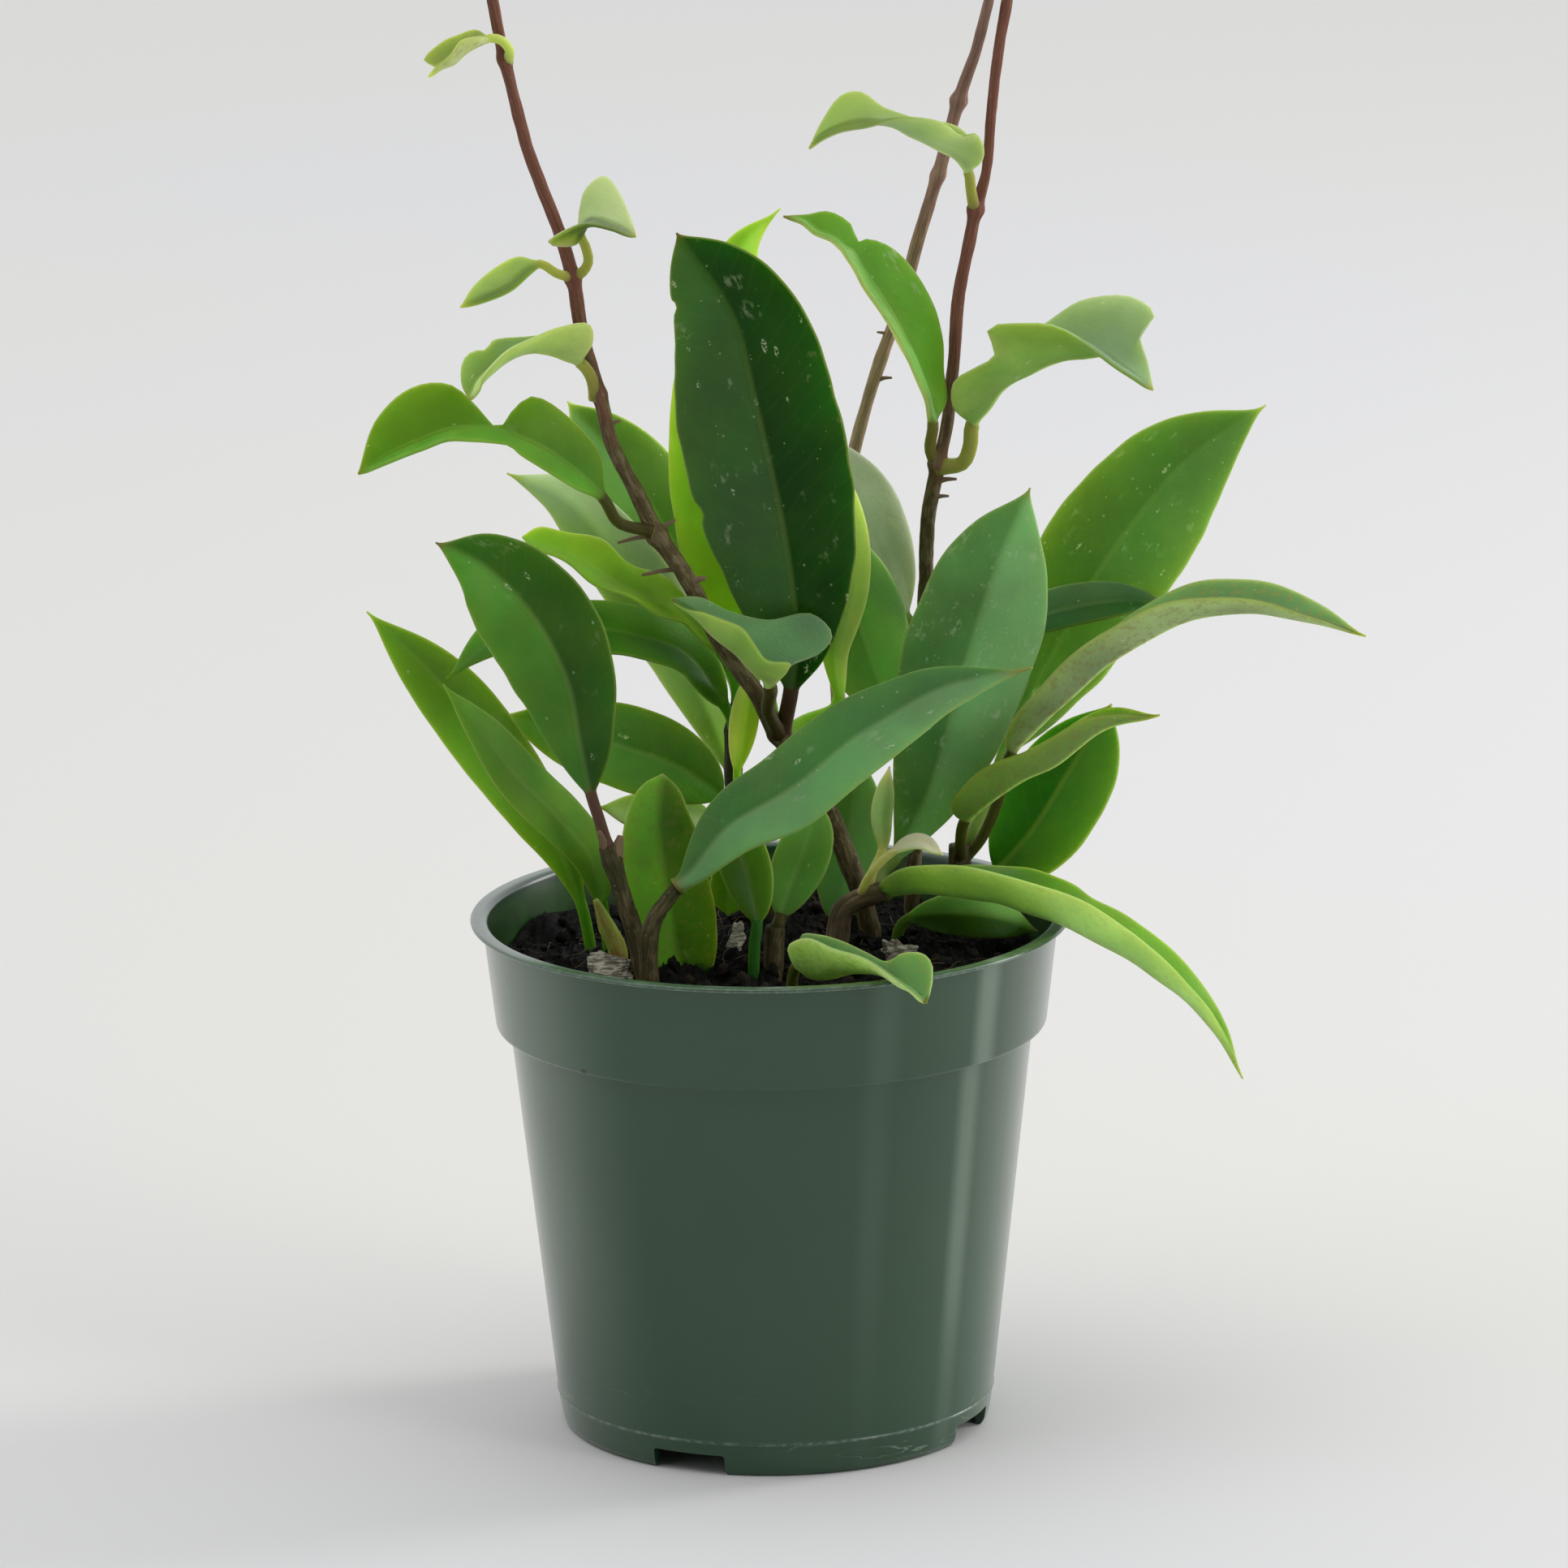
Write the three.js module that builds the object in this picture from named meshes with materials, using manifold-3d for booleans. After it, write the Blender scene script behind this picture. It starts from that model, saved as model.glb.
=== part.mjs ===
// Potted hoya: a plant of several stems in a green plastic pot.
// Millimetres, +Z up, the pot's axis on Z, its front towards -Y.
import * as THREE from 'three';
import { mergeVertices } from 'three/addons/utils/BufferGeometryUtils.js';
import Module from 'manifold-3d';

const wasm = await Module();
wasm.setup();

// Pot
const POT_HEIGHT = 99.2;
const LIP_RADIUS = 57;
const LIP_THICK = 0.8;
const COLLAR_TOP_RADIUS = 54.7;
const COLLAR_FOOT_RADIUS = 52.4;
const COLLAR_FOOT_Z = 78.4;
const BODY_TOP_RADIUS = 49.7;
const BODY_FOOT_RADIUS = 41.8;
const BODY_FOOT_Z = 6.4;
const FOOT_RADIUS = 40.4;
const WALL = 1.0;
const CENTRE_PAD_RADIUS = 24;
const CHANNEL_Z = 4.5;
const POT_SIDES = 60;
const SLOT_WIDTH = 14.5;
const SLOT_HEIGHT = 4;
const SLOT_FIRST_ANGLE = -114;
const DRAIN_RADIUS = 4;
const DRAIN_RING_RADIUS = 32.5;

// Soil and its chips
const SOIL_Z = 89.5;
const SOIL_BUMP = 1.1;
const SOIL_RINGS = 5;
const SOIL_SIDES = 24;

// Room left between pieces that touch
const GAP = 0.3;

// Leaf blades
const MARGIN_HALF = 0.32;
const TIP_RADIUS = 0.5;
const TIP_POWER = 12;
const STATIONS = [0, 0.05, 0.16, 0.32, 0.5, 0.68, 0.84, 0.95, 1];
const SHORT_STATIONS = [0, 0.08, 0.28, 0.5, 0.74, 0.93, 1];
const SHORT_BLADE = 46;
const FOLDED_STATIONS = [0, 0.08, 0.2, 0.35, 0.5, 0.64, 0.78, 0.92, 1];
const ACROSS = [-1, -0.62, 0, 0.62, 1];
const PETIOLE_RINGS = 2;
const STEM_SIDES = 8;
const STEM_STEP = 9;

// Colours: name, colour, roughness
const COLOURS = {
  pot: [0x3f5548, 0.45],
  soil: [0x1c1714, 0.95],
  chip: [0xa59a86, 0.9],
  old: [0x2c4a2e, 0.45],
  mid: [0x3f6e2c, 0.42],
  young: [0x6f9a2e, 0.42],
  bronze: [0x4d5a33, 0.48],
  vine: [0x5b4540, 0.6],
  stem: [0x57503c, 0.7],
};

// Stems: each point is x, y, z, radius; nodes are the joints, [point, swelling].
const STEMS = [
  {
    name: 'vine_left',
    colour: 'vine',
    path: [
      [19, 23, 80, 2.3], [19, 23, 90.5, 2.3], [16, 22, 101, 2.2], [11.5, 21, 113, 2.2],
      [6, 19, 123.5, 2.2], [2, 17, 130, 2.3], [-1.5, 14, 137.5, 1.9], [-9, 10, 150, 1.9],
      [-14.5, 7, 162, 1.9], [-20.5, 6, 171.5, 1.9], [-24, 5, 179.5, 1.7], [-28.5, 4, 189, 1.6],
      [-31, 4, 199, 1.6], [-34, 3, 211, 1.5], [-35.5, 3, 221.5, 1.5], [-38, 3, 230.5, 1.4],
      [-43, 2, 244.5, 1.3], [-47.5, 1, 263.5, 1.3], [-49.5, 0, 274.5, 1.3],
      [-51, 0, 288.5, 1.2], [-52, 0, 303.5, 1], [-52, 0, 320, 0.6],
    ],
    nodes: [[5, 0.3], [9, 0.35], [12, 0.3], [14, 0.35], [17, 0.3], [19, 0.3]],
  },
  {
    name: 'vine_right',
    colour: 'vine',
    path: [
      [27, 35, 80, 1.7], [27.5, 34, 94, 1.7], [28.5, 35, 110, 1.7], [29.5, 35, 134, 1.6],
      [30.5, 31, 155.5, 1.6], [31, 28, 169, 1.6], [33, 25, 180.5, 1.6], [34.5, 25, 187, 1.35],
      [36, 25, 199.5, 1.35], [37, 25, 212, 1.35], [39, 25, 222.5, 1.35], [40.5, 25, 229.5, 1.4],
      [42.5, 25, 237, 1.1], [43.5, 25, 248, 1.1], [45, 26, 260, 1.2], [47, 28, 272, 1.2],
      [47, 32, 284, 1.1], [45, 30, 298, 1], [45.5, 26, 312.5, 0.9], [47, 24, 326, 0.5],
    ],
    nodes: [[6, 0.5], [11, 0.4], [17, 0.3]],
  },
  {
    name: 'vine_back',
    colour: 'vine',
    path: [
      [12, 43, 80, 1.7], [14.5, 43, 92, 1.7], [14, 43, 116, 1.7], [13.5, 42, 140.5, 1.6],
      [14.5, 40, 165, 1.5], [17.5, 38, 182, 1.4], [22, 37, 197.5, 1.4], [26.5, 36, 210, 1.4],
      [29.5, 35, 221.5, 1.4], [33.5, 34, 234.5, 1.4], [37.5, 33, 249, 1.4], [41, 31, 259.5, 1.2],
      [43.5, 25, 271, 1.1], [46, 24, 282, 1.1], [48.5, 30, 293.5, 1], [47.5, 33, 306.5, 0.9],
      [46.5, 34, 319, 0.5],
    ],
    nodes: [[9, 0.2], [10, 0.4], [14, 0.3]],
  },
  {
    name: 'stem_left',
    colour: 'stem',
    path: [
      [-23, -12, 80, 1.9], [-24.5, -12, 94, 1.9], [-27.5, -11, 104.5, 1.7],
      [-29.5, -10, 112, 1.8], [-30.5, -10, 115, 1.8],
    ],
    nodes: [[3, 0.25]],
  },
  {
    name: 'stem_front_left',
    colour: 'stem',
    path: [[-22, -17, 80, 1.9], [-23, -17, 95, 1.8], [-22, -17, 102, 1.6], [-17.5, -16, 108.5, 1.3]],
    nodes: [],
  },
  {
    name: 'sprout_left',
    colour: 'young',
    path: [[-29, -5, 80, 1.6], [-29, -5, 93.5, 1.8], [-31, -5, 98, 1.7], [-33, -5.5, 103.5, 0.6]],
    nodes: [],
  },
  {
    name: 'stem_centre',
    colour: 'stem',
    path: [[0, -6, 80, 2], [0.5, -6, 93.5, 2], [1, -6, 98, 1.8]],
    nodes: [],
  },
  {
    name: 'stem_arch',
    colour: 'stem',
    path: [
      [12, 14, 80, 2.3], [13, 13, 91.5, 2.2], [14, 12, 96.5, 2.2], [19.5, 12, 99.5, 2],
      [22, 12, 100, 1.9],
    ],
    nodes: [[3, 0.15]],
  },
  {
    name: 'stem_right',
    colour: 'stem',
    path: [[36, 24, 80, 2.2], [36.5, 23, 96.5, 2.2], [36.5, 22, 103.5, 2.3], [36.5, 22, 106.5, 2.1]],
    nodes: [],
  },
  {
    name: 'stem_back_left',
    colour: 'stem',
    path: [
      [0, 29, 80, 1.9], [0, 29, 92.5, 1.8], [-3.5, 28, 104, 1.7], [-6.5, 27, 114.5, 1.8],
      [-6.5, 26, 128.5, 1.8], [-5.5, 25, 135, 1.4],
    ],
    nodes: [[2, 0.2], [3, 0.25], [4, 0.3]],
  },
];

// Aerial roots and cut twigs, fused to the stem they grow from: from, to, two radii.
const NUBS = {
  vine_left: [
    [[-20.5, 6, 172], [-17, 5, 174.5], 0.55, 0.3],
    [[-20.5, 6, 171.5], [-28, 6, 170], 0.55, 0.35],
    [[-16, 7.5, 164.5], [-23.5, 7, 163.5], 0.55, 0.35],
    [[-14.5, 7, 162], [-11.5, 6, 163], 0.9, 0.6],
    [[-29.5, 4, 193], [-27, 3.5, 194], 0.5, 0.3],
  ],
  vine_right: [
    [[32.5, 25.5, 177], [36.5, 25, 177.5], 0.55, 0.35],
    [[32, 26.5, 173.5], [35, 26, 174], 0.55, 0.35],
  ],
  vine_back: [
    [[24.5, 36.5, 203], [21.7, 36, 204], 0.5, 0.3],
    [[21.5, 37, 194.5], [24.5, 36.5, 195], 0.5, 0.3],
  ],
  stem_left: [
    [[-30.5, -10, 113.5], [-32, -12.3, 118.5], 0.9, 0.6],
    [[-29, -10, 113], [-28, -10, 117], 1.1, 0.9],
  ],
};

// Leaves. path: points along the midrib, the first one inside the stem or the soil;
// base: the point where the blade starts; wide: full width; face: the way the upper side
// looks at base, middle and tip; fold: how far the halves stand up; ab: where it is widest;
// nips: [side, place, depth, length]; wave: [height, waves along the margin, start].
// A folded leaf has the points of its left and right margin instead, each across from a point
// of the path after its base.
const LEAVES = [
  {
    name: 'leaf_a1', on: 'vine_left', colour: 'mid', base: 2, thick: 1.3,
    path: [
      [-21.5, 5, 172.5], [-27.5, 3, 174.5], [-30.5, 0, 180], [-34.5, -1.5, 184], [-40.5, -3, 189.5],
      [-45, -4, 192], [-47.5, -4, 193], [-50, -4, 194], [-53.5, -4.5, 194.5], [-58.5, -5, 194],
      [-63.5, -6, 192.5], [-70, -7, 190], [-76, -9, 187],
    ],
    left: [
      [-35, -4, 182.5], [-43, -6, 188], [-46, -6, 190], [-47.5, -6, 191.5], [-51, -6, 192],
      [-55, -8, 193], [-59.5, -9, 193.5], [-64, -10, 192], [-70, -10.5, 190],
    ],
    right: [
      [-31, 2, 188], [-37, 1.5, 195.5], [-43.5, 0, 199.5], [-47, -1.5, 197.5], [-50, -3.5, 194],
      [-53, -3, 197.5], [-58.5, -2.5, 202.5], [-65.5, -4, 202.5], [-72.5, -6, 197],
    ],
    face: [[0.3, -0.7, 0.6]],
  },
  {
    name: 'leaf_a2', on: 'vine_left', colour: 'young', base: 2, thick: 1.3,
    path: [
      [-31.5, 4, 198.5], [-32.5, 2, 203], [-34.5, 0, 206], [-37, -0.5, 207], [-39.5, -1, 208],
      [-43, -2, 208.5], [-46, -2.5, 208], [-48.5, -3.5, 207], [-51, -4.5, 205], [-53, -5.5, 203],
      [-54, -6, 201.5], [-55, -7, 200.5],
    ],
    left: [
      [-32, 0, 209.5], [-32.5, -1, 213.5], [-38, -3, 213.5], [-43, -6, 212], [-47, -8, 210.5],
      [-49.5, -9, 208.5], [-52, -9, 205.5], [-53, -8, 203],
    ],
    right: [
      [-35, 5, 208.5], [-36.5, 5, 210], [-39.5, 4, 210.5], [-44, 3, 210.5], [-49.5, 2, 210.5],
      [-51.5, 0, 210], [-56, -3, 207.5], [-56.5, -5.5, 203.5],
    ],
    face: [[0.2, 0.3, 0.9]],
  },
  {
    name: 'leaf_a3_left', on: 'vine_left', colour: 'young', base: 2, petiole: 0.85, thick: 1.3,
    path: [
      [-35.5, 3, 221.5], [-38.5, 0, 223], [-41.5, -1, 225], [-44, -1.5, 224], [-47, -2.5, 221.5],
      [-51.5, -3, 219.5], [-56.5, -4, 217.5],
    ],
    left: [[-43.5, -3, 223.5], [-47, -4.5, 221], [-51.5, -5, 219]],
    right: [[-45.5, 1, 226], [-50, 1, 224], [-54, -1, 221]],
    face: [[-0.2, -0.5, 0.8]],
  },
  {
    name: 'leaf_a3_right', on: 'vine_left', colour: 'mid', base: 4, petiole: 0.9, thick: 1.3,
    path: [
      [-35.5, 3, 221.5], [-33.5, 2, 223], [-32.5, 1, 225], [-33, 0, 228], [-34, -0.5, 230.5],
      [-33, -1, 232.5], [-31.5, -2, 233.5], [-29.5, -3.5, 233.5], [-27.5, -5, 233], [-25, -6, 232],
      [-23.5, -7, 231],
    ],
    left: [[-34, 2, 235], [-33, 2.5, 238.5], [-29.5, 1.5, 241], [-26.5, -1, 238], [-24.5, -4.5, 234]],
    right: [[-35.5, -3.5, 229], [-40, -7, 230], [-33.5, -6, 233.5], [-28, -7, 233], [-25.5, -8, 232]],
    face: [[-0.6, -0.3, 0.65]],
  },
  {
    name: 'leaf_a4', on: 'vine_left', colour: 'young', base: 3, petiole: 0.85, thick: 1.3,
    path: [
      [-47, 1, 263], [-46.5, -1.5, 265.5], [-48, -2.5, 267.5], [-50, -3, 268], [-52.5, -3.5, 267],
      [-55, -4, 265.5], [-57, -5, 264], [-58.5, -5.5, 263.5], [-59.5, -6, 263], [-61.5, -7, 261.5],
    ],
    left: [[-52, -6, 269], [-55.5, -7, 268.5], [-57.5, -8, 266], [-58.5, -8, 265], [-59.5, -8, 264]],
    right: [[-52.5, 0, 269], [-56, 0, 268], [-59, -1, 267], [-62.5, -3, 264], [-60, -5.5, 263]],
    face: [[0, -0.2, 1]],
  },
  {
    name: 'leaf_b1_left', on: 'vine_right', colour: 'old', base: 2, thick: 1.3,
    path: [
      [33, 25, 180], [31.5, 24, 183.5], [32, 22, 189], [30.5, 21.5, 195], [28.5, 21, 200.5],
      [25.5, 20, 207], [23, 19, 212], [20, 18.5, 216.5], [18, 18, 220], [16.5, 17.5, 223], [15, 17, 224],
      [13.5, 16.5, 225.5], [10.5, 16, 227], [7.5, 15.5, 229.5], [4, 15, 230.5],
    ],
    left: [
      [30.5, 15, 196], [28, 14, 201.5], [25.5, 13, 208], [22.5, 12.5, 213], [19.5, 12, 218],
      [18, 12, 221], [16, 12.5, 223.5], [15, 13, 225], [13, 13.5, 226.5], [10, 14, 227.5], [8, 14, 229.5],
    ],
    right: [
      [34.5, 24, 192.5], [34, 24, 198], [34, 24, 205.5], [32.5, 23.5, 211.5], [29, 23, 218],
      [24.5, 22, 223], [20, 20, 225], [18, 19, 224.5], [17, 18.5, 228], [12.5, 17.5, 231],
      [8, 16.5, 230.5],
    ],
    face: [[0.6, -0.65, 0.4]],
  },
  {
    name: 'leaf_b1_right', on: 'vine_right', colour: 'mid', base: 3, petiole: 1.4, thick: 1.3,
    path: [
      [33, 25, 180], [37.5, 23, 181], [39, 22, 184.5], [39.5, 21, 189], [42.5, 20.5, 192.5],
      [45, 20, 195.5], [47.5, 19.5, 197.5], [50.5, 19, 199], [53.5, 18.5, 200.5], [57.5, 18, 201.5],
      [61, 17.5, 202], [64, 17, 202.5], [66.5, 16, 201], [69.5, 15, 199.5], [71.5, 14.5, 198],
      [73.5, 14, 196.5],
    ],
    left: [
      [43, 24, 196.5], [45.5, 25, 201], [48.5, 25, 205], [52.5, 25, 207], [56, 25, 209.5],
      [60, 24.5, 212], [65.5, 24, 213], [70.5, 22.5, 212.5], [74, 21, 209.5], [71, 18, 206.5],
      [72.5, 16, 201.5],
    ],
    right: [
      [35.5, 16, 193.5], [36, 14, 198.5], [40, 13, 201.5], [43.5, 12.5, 204], [42.5, 13, 209],
      [49, 12, 210], [55, 12, 209.5], [59.5, 12.5, 207], [63.5, 13, 204], [67.5, 13, 201],
      [70.5, 13.5, 199],
    ],
    face: [[-0.5, -0.3, 0.7]],
  },
  {
    name: 'leaf_b2', on: 'vine_right', colour: 'mid', base: 3, petiole: 1, thick: 1.3,
    path: [
      [40.5, 25, 229.5], [40, 24, 231], [39.5, 22.5, 234], [39, 21.5, 237.5], [37.5, 21, 239],
      [36, 20.5, 240.5], [33.5, 20, 242], [31, 19.5, 243.5], [28, 19, 245], [25, 18, 247], [21, 17, 248],
      [17, 16, 248], [14, 15, 247], [11, 14.5, 245.5], [9, 14, 243.5],
    ],
    left: [
      [41.5, 20, 239.5], [42, 17, 243], [40.5, 15, 246], [38, 14.5, 245.5], [34, 14, 248],
      [29, 13.5, 249], [24.5, 13.5, 249], [20, 13, 248], [15.5, 13, 247], [12, 13, 245.5],
    ],
    right: [
      [40, 25, 241.5], [39, 25, 244], [37, 25, 245.5], [34.5, 24.5, 246.5], [31, 24, 247],
      [27.5, 23, 248], [23.5, 22, 250], [19, 20, 253.5], [15, 18, 253], [11.5, 16, 248.5],
    ],
    face: [[0.5, 0.2, 0.8]],
  },
  {
    name: 'leaf_l1', on: 'vine_left', colour: 'old', base: 2, wide: 31, fold: 0.12, ab: [0.75, 0.65],
    petiole: 1.5,
    path: [
      [2.5, 17, 129.5], [3.5, 15.5, 134], [4.5, 14, 139.5], [5.5, 11, 151],
      [3.5, 7, 171], [-1.5, 4, 196.5], [-5.5, 3, 213.5], [-16, 2, 230],
    ],
    face: [[0.1, -0.9, 0.4], [-0.1, -0.95, 0.2], [-0.2, -0.93, 0.2]],
  },
  {
    name: 'leaf_l2', on: 'vine_left', colour: 'young', base: 2, wide: 23, fold: 0.15, ab: [0.6, 0.8],
    path: [
      [1.5, 20, 130], [0.5, 21, 136], [0, 21, 141], [-6, 19, 163.5],
      [-7.5, 17, 184.5], [-6, 15, 210], [-3.5, 16, 224.5], [3.5, 18, 231.5],
    ],
    face: [[-0.4, -0.85, 0.3]],
  },
  {
    name: 'leaf_l4', on: 'vine_left', colour: 'young', base: 3, wide: 8, fold: 0.15, ab: [0.75, 0.8],
    path: [
      [2.5, 17.5, 129.5], [7, 21.5, 131.5], [12.5, 22, 133.5], [13.5, 22, 135.5],
      [13, 23, 145], [16, 24, 158], [15, 25, 173], [10.5, 25, 185.5],
    ],
    face: [[0.4, -0.85, 0.2]],
  },
  {
    name: 'leaf_l5', on: 'vine_right', colour: 'old', base: 2, wide: 16, fold: 0.1, ab: [0.75, 0.8],
    path: [
      [30.5, 34, 142.5], [28.5, 33, 146.5], [26.5, 32, 149.5],
      [20.5, 33, 164], [14, 33, 176], [6.5, 33, 186.5],
    ],
    face: [[0.1, -0.93, 0.35]],
  },
  {
    name: 'leaf_l6', on: 'vine_right', colour: 'old', base: 2, wide: 18, fold: 0.1, ab: [0.75, 0.8],
    path: [
      [27.5, 33, 121], [25.5, 31, 125.5], [24.5, 29, 128.5],
      [20, 28, 142], [14.5, 28, 158], [8, 28, 171.5],
    ],
    face: [[0.1, -0.93, 0.35]],
  },
  {
    name: 'leaf_r1', on: 'stem_arch', colour: 'old', base: 2, wide: 25, fold: 0.12, ab: [0.9, 0.6],
    path: [
      [20.5, 12.5, 99.5], [21.5, 16.5, 102.5], [24, 17, 105], [31, 14, 120.5], [37.5, 11, 144],
      [43.5, 9, 163.5], [50, 9, 179],
    ],
    face: [[0.2, -0.9, 0.4], [0.1, -0.95, 0.3], [0.1, -0.95, 0.3]],
  },
  {
    name: 'leaf_r2', on: 'stem_right', colour: 'mid', base: 2, wide: 26.5, fold: 0.1, ab: [0.8, 0.75],
    path: [
      [37.5, 24, 105.5], [42, 29, 113.5], [45, 30.5, 122], [54.5, 32, 140.5], [63, 31, 156.5],
      [72, 30, 169.5], [81, 29, 180], [95.5, 28, 190.5],
    ],
    face: [[-0.1, -0.9, 0.4], [-0.1, -0.95, 0.3], [-0.1, -0.93, 0.35]],
  },
  {
    name: 'leaf_r3', on: 'stem_right', colour: 'bronze', base: 3, wide: 15.5, fold: 0.75, ab: [0.55, 0.7],
    path: [
      [36.5, 22, 103], [40.5, 22, 107.5], [44, 20.5, 116], [46.5, 17, 126], [54.5, 14, 135],
      [66.5, 13, 145.5], [78.5, 12, 152.5], [91.5, 11, 154.5], [104, 10, 152.5], [113.5, 9, 149.5],
    ],
    face: [[-0.5, 0.35, 0.8], [-0.2, 0.1, 1], [0.3, -0.35, 0.85]],
  },
  {
    name: 'leaf_r4', on: 'vine_right', colour: 'mid', base: 2, wide: 9.5, fold: 0.4, ab: [0.7, 0.6],
    path: [
      [30.5, 34, 126], [33.5, 28, 136], [39.5, 25, 143], [47.5, 24, 148.5], [56.5, 24.5, 151.5],
      [66, 25, 153], [76.5, 25.5, 153],
    ],
    face: [[-0.2, -0.6, 0.75], [-0.1, -0.7, 0.7], [0.1, -0.7, 0.7]],
  },
  {
    name: 'leaf_r5', on: 'stem_right', colour: 'bronze', base: 2, wide: 13, fold: 0.8, ab: [0.45, 0.8],
    path: [
      [36.5, 22, 103.5], [36.5, 17, 107.5], [37.5, 12, 114], [45, 6, 121.5],
      [54.5, 3, 127.5], [63.5, 1, 134.5], [74, -1, 137],
    ],
    face: [[-0.5, 0.3, 0.8], [-0.3, 0.2, 0.95], [0, -0.05, 0.95]],
  },
  {
    name: 'leaf_r6', on: 'stem_right', colour: 'mid', base: 2, wide: 21, fold: 0.1, ab: [0.5, 0.6],
    path: [
      [36.5, 24, 96.5], [39, 24, 98], [43.5, 22.5, 101],
      [50.5, 23, 108.5], [58, 26, 119.5], [66, 30, 132],
    ],
    face: [[-0.45, -0.85, 0.35]],
  },
  {
    name: 'leaf_r7', on: 'stem_arch', colour: 'bronze', base: 0, wide: 17.5, fold: 0.8, ab: [0.6, 0.95],
    petiole: 1.6,
    path: [
      [22, 12, 100], [25, 9.5, 101], [38.5, -3, 103], [53.5, -16, 101.5],
      [68.5, -20, 94.5], [77, -22, 88], [84, -23, 80.5], [88.5, -24, 72],
    ],
    face: [[-0.1, 0.35, 0.95], [0.1, 0.2, 0.95], [0.6, -0.25, 0.7]],
  },
  {
    name: 'leaf_r8', on: 'soil', colour: 'mid', base: 1, thick: 1.3,
    path: [
      [3, -25, 82], [5, -33, 97.5], [7.5, -36, 96], [11.5, -39, 96.5], [15, -43, 98.5], [18.5, -47, 99.5],
      [21.5, -51, 100], [24, -55, 99.5], [26.5, -58, 99], [27.5, -59.5, 98], [28.5, -61, 97.5],
    ],
    left: [
      [5.5, -32, 103], [8.5, -34, 103.5], [13, -38, 103.5], [17.5, -43, 102.5], [21, -48, 102],
      [24, -51, 104.5], [28, -54, 105], [29.5, -57, 103.5],
    ],
    right: [
      [3.5, -40, 103.5], [6.5, -43, 105.5], [11.5, -47, 104.5], [16, -51, 104], [20, -54, 102.5],
      [23, -58, 101.5], [25.5, -60, 100], [27, -61, 99],
    ],
    face: [[0.2, -0.2, 1]],
  },
  {
    name: 'leaf_m1', on: 'stem_front_left', colour: 'mid', base: 0, wide: 17.8, fold: 0.2, ab: [0.8, 1],
    petiole: 1.3,
    path: [
      [-17.5, -16, 108.5], [-15, -16, 110.5], [-7.5, -16, 119.5], [3.5, -15, 126], [17.5, -12, 136],
      [31, -8, 143], [50, -3, 147],
    ],
    face: [[-0.4, -0.75, 0.55], [-0.4, -0.75, 0.55], [-0.2, -0.6, 0.75]],
  },
  {
    name: 'leaf_m2', on: 'vine_left', colour: 'mid', base: 2, petiole: 1.3, thick: 1.3,
    path: [
      [2, 16, 130.5], [0, 8, 137], [0.5, 3, 142.5], [-0.5, 2, 144], [-2.5, 1, 146], [-5, 0, 149],
      [-7.5, -1, 151.5], [-10.5, -2, 154.5], [-13.5, -3.5, 158], [-15.5, -4.5, 160], [-18, -5, 161.5],
    ],
    left: [
      [4.5, -1, 148], [0, -4, 149.5], [-2.5, -5, 153], [-4.5, -5.5, 156], [-8.5, -6, 158],
      [-12.5, -6, 159.5], [-15, -6, 160],
    ],
    right: [
      [4.5, 3, 146.5], [10, 6, 148], [12.5, 8, 151], [8.5, 7, 155.5], [0.5, 4, 155], [-7, 1, 157.5],
      [-12.5, -2, 161],
    ],
    face: [[0.7, -0.5, 0.5]],
  },
  {
    name: 'leaf_n1', on: 'stem_left', colour: 'old', base: 2, wide: 21, fold: 0.15, ab: [0.75, 0.6],
    path: [
      [-30.5, -10, 114.5], [-32, -11, 120.5], [-33.5, -12, 126], [-35, -13, 135],
      [-37.5, -14, 148], [-43.5, -15, 160.5], [-52, -16, 170], [-61.5, -17, 175.5],
    ],
    face: [[-0.3, -0.9, 0.3], [-0.2, -0.9, 0.4], [-0.1, -0.8, 0.6]],
  },
  {
    name: 'leaf_n2', on: 'soil', colour: 'mid', base: 2, wide: 14, fold: 0.25, ab: [0.9, 0.75],
    path: [
      [-33.5, 9, 82], [-34.5, 9, 91], [-36, 8.5, 99], [-40.5, 7, 111.5],
      [-51.5, 6, 129.5], [-62.5, 6, 144], [-75.5, 5, 157.5],
    ],
    face: [[-0.4, -0.8, 0.4]],
  },
  {
    name: 'leaf_n3', on: 'soil', colour: 'old', base: 2, wide: 9.5, fold: 0.25, ab: [0.6, 0.7],
    path: [
      [-30, 4, 82], [-31, 3, 93], [-32, 1, 101.5], [-34, -2, 111.5],
      [-40, -4, 119.5], [-47.5, -6, 128], [-53, -7, 136], [-61, -7, 146],
    ],
    face: [[-0.1, -0.85, 0.5]],
  },
  {
    name: 'leaf_n4', on: 'stem_back_left', colour: 'old', base: 2, wide: 14, fold: 0.3, ab: [0.6, 0.7],
    path: [
      [-6.5, 26, 128], [-7, 24, 131.5], [-8.5, 23, 134.5], [-15, 21, 144], [-25.5, 16, 149.5],
      [-37.5, 10, 152], [-50, 4, 152.5], [-60.5, -2, 146],
    ],
    face: [[0, -0.7, 0.7], [0, -0.6, 0.8], [-0.5, -0.7, 0.4]],
  },
  {
    name: 'leaf_n5', on: 'stem_back_left', colour: 'mid', base: 2, wide: 16.5, fold: 0.15, ab: [0.6, 0.8],
    path: [
      [-6.5, 27, 113.5], [-8.5, 23, 115], [-9.5, 21, 117], [-17, 17, 123.5], [-26, 13, 128],
      [-38, 9, 132.5], [-51, 6, 137],
    ],
    face: [[-0.1, -0.9, 0.4]],
  },
  {
    name: 'leaf_n6', on: 'stem_back_left', colour: 'mid', base: 2, wide: 14, fold: 0.2, ab: [0.7, 0.6],
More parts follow.
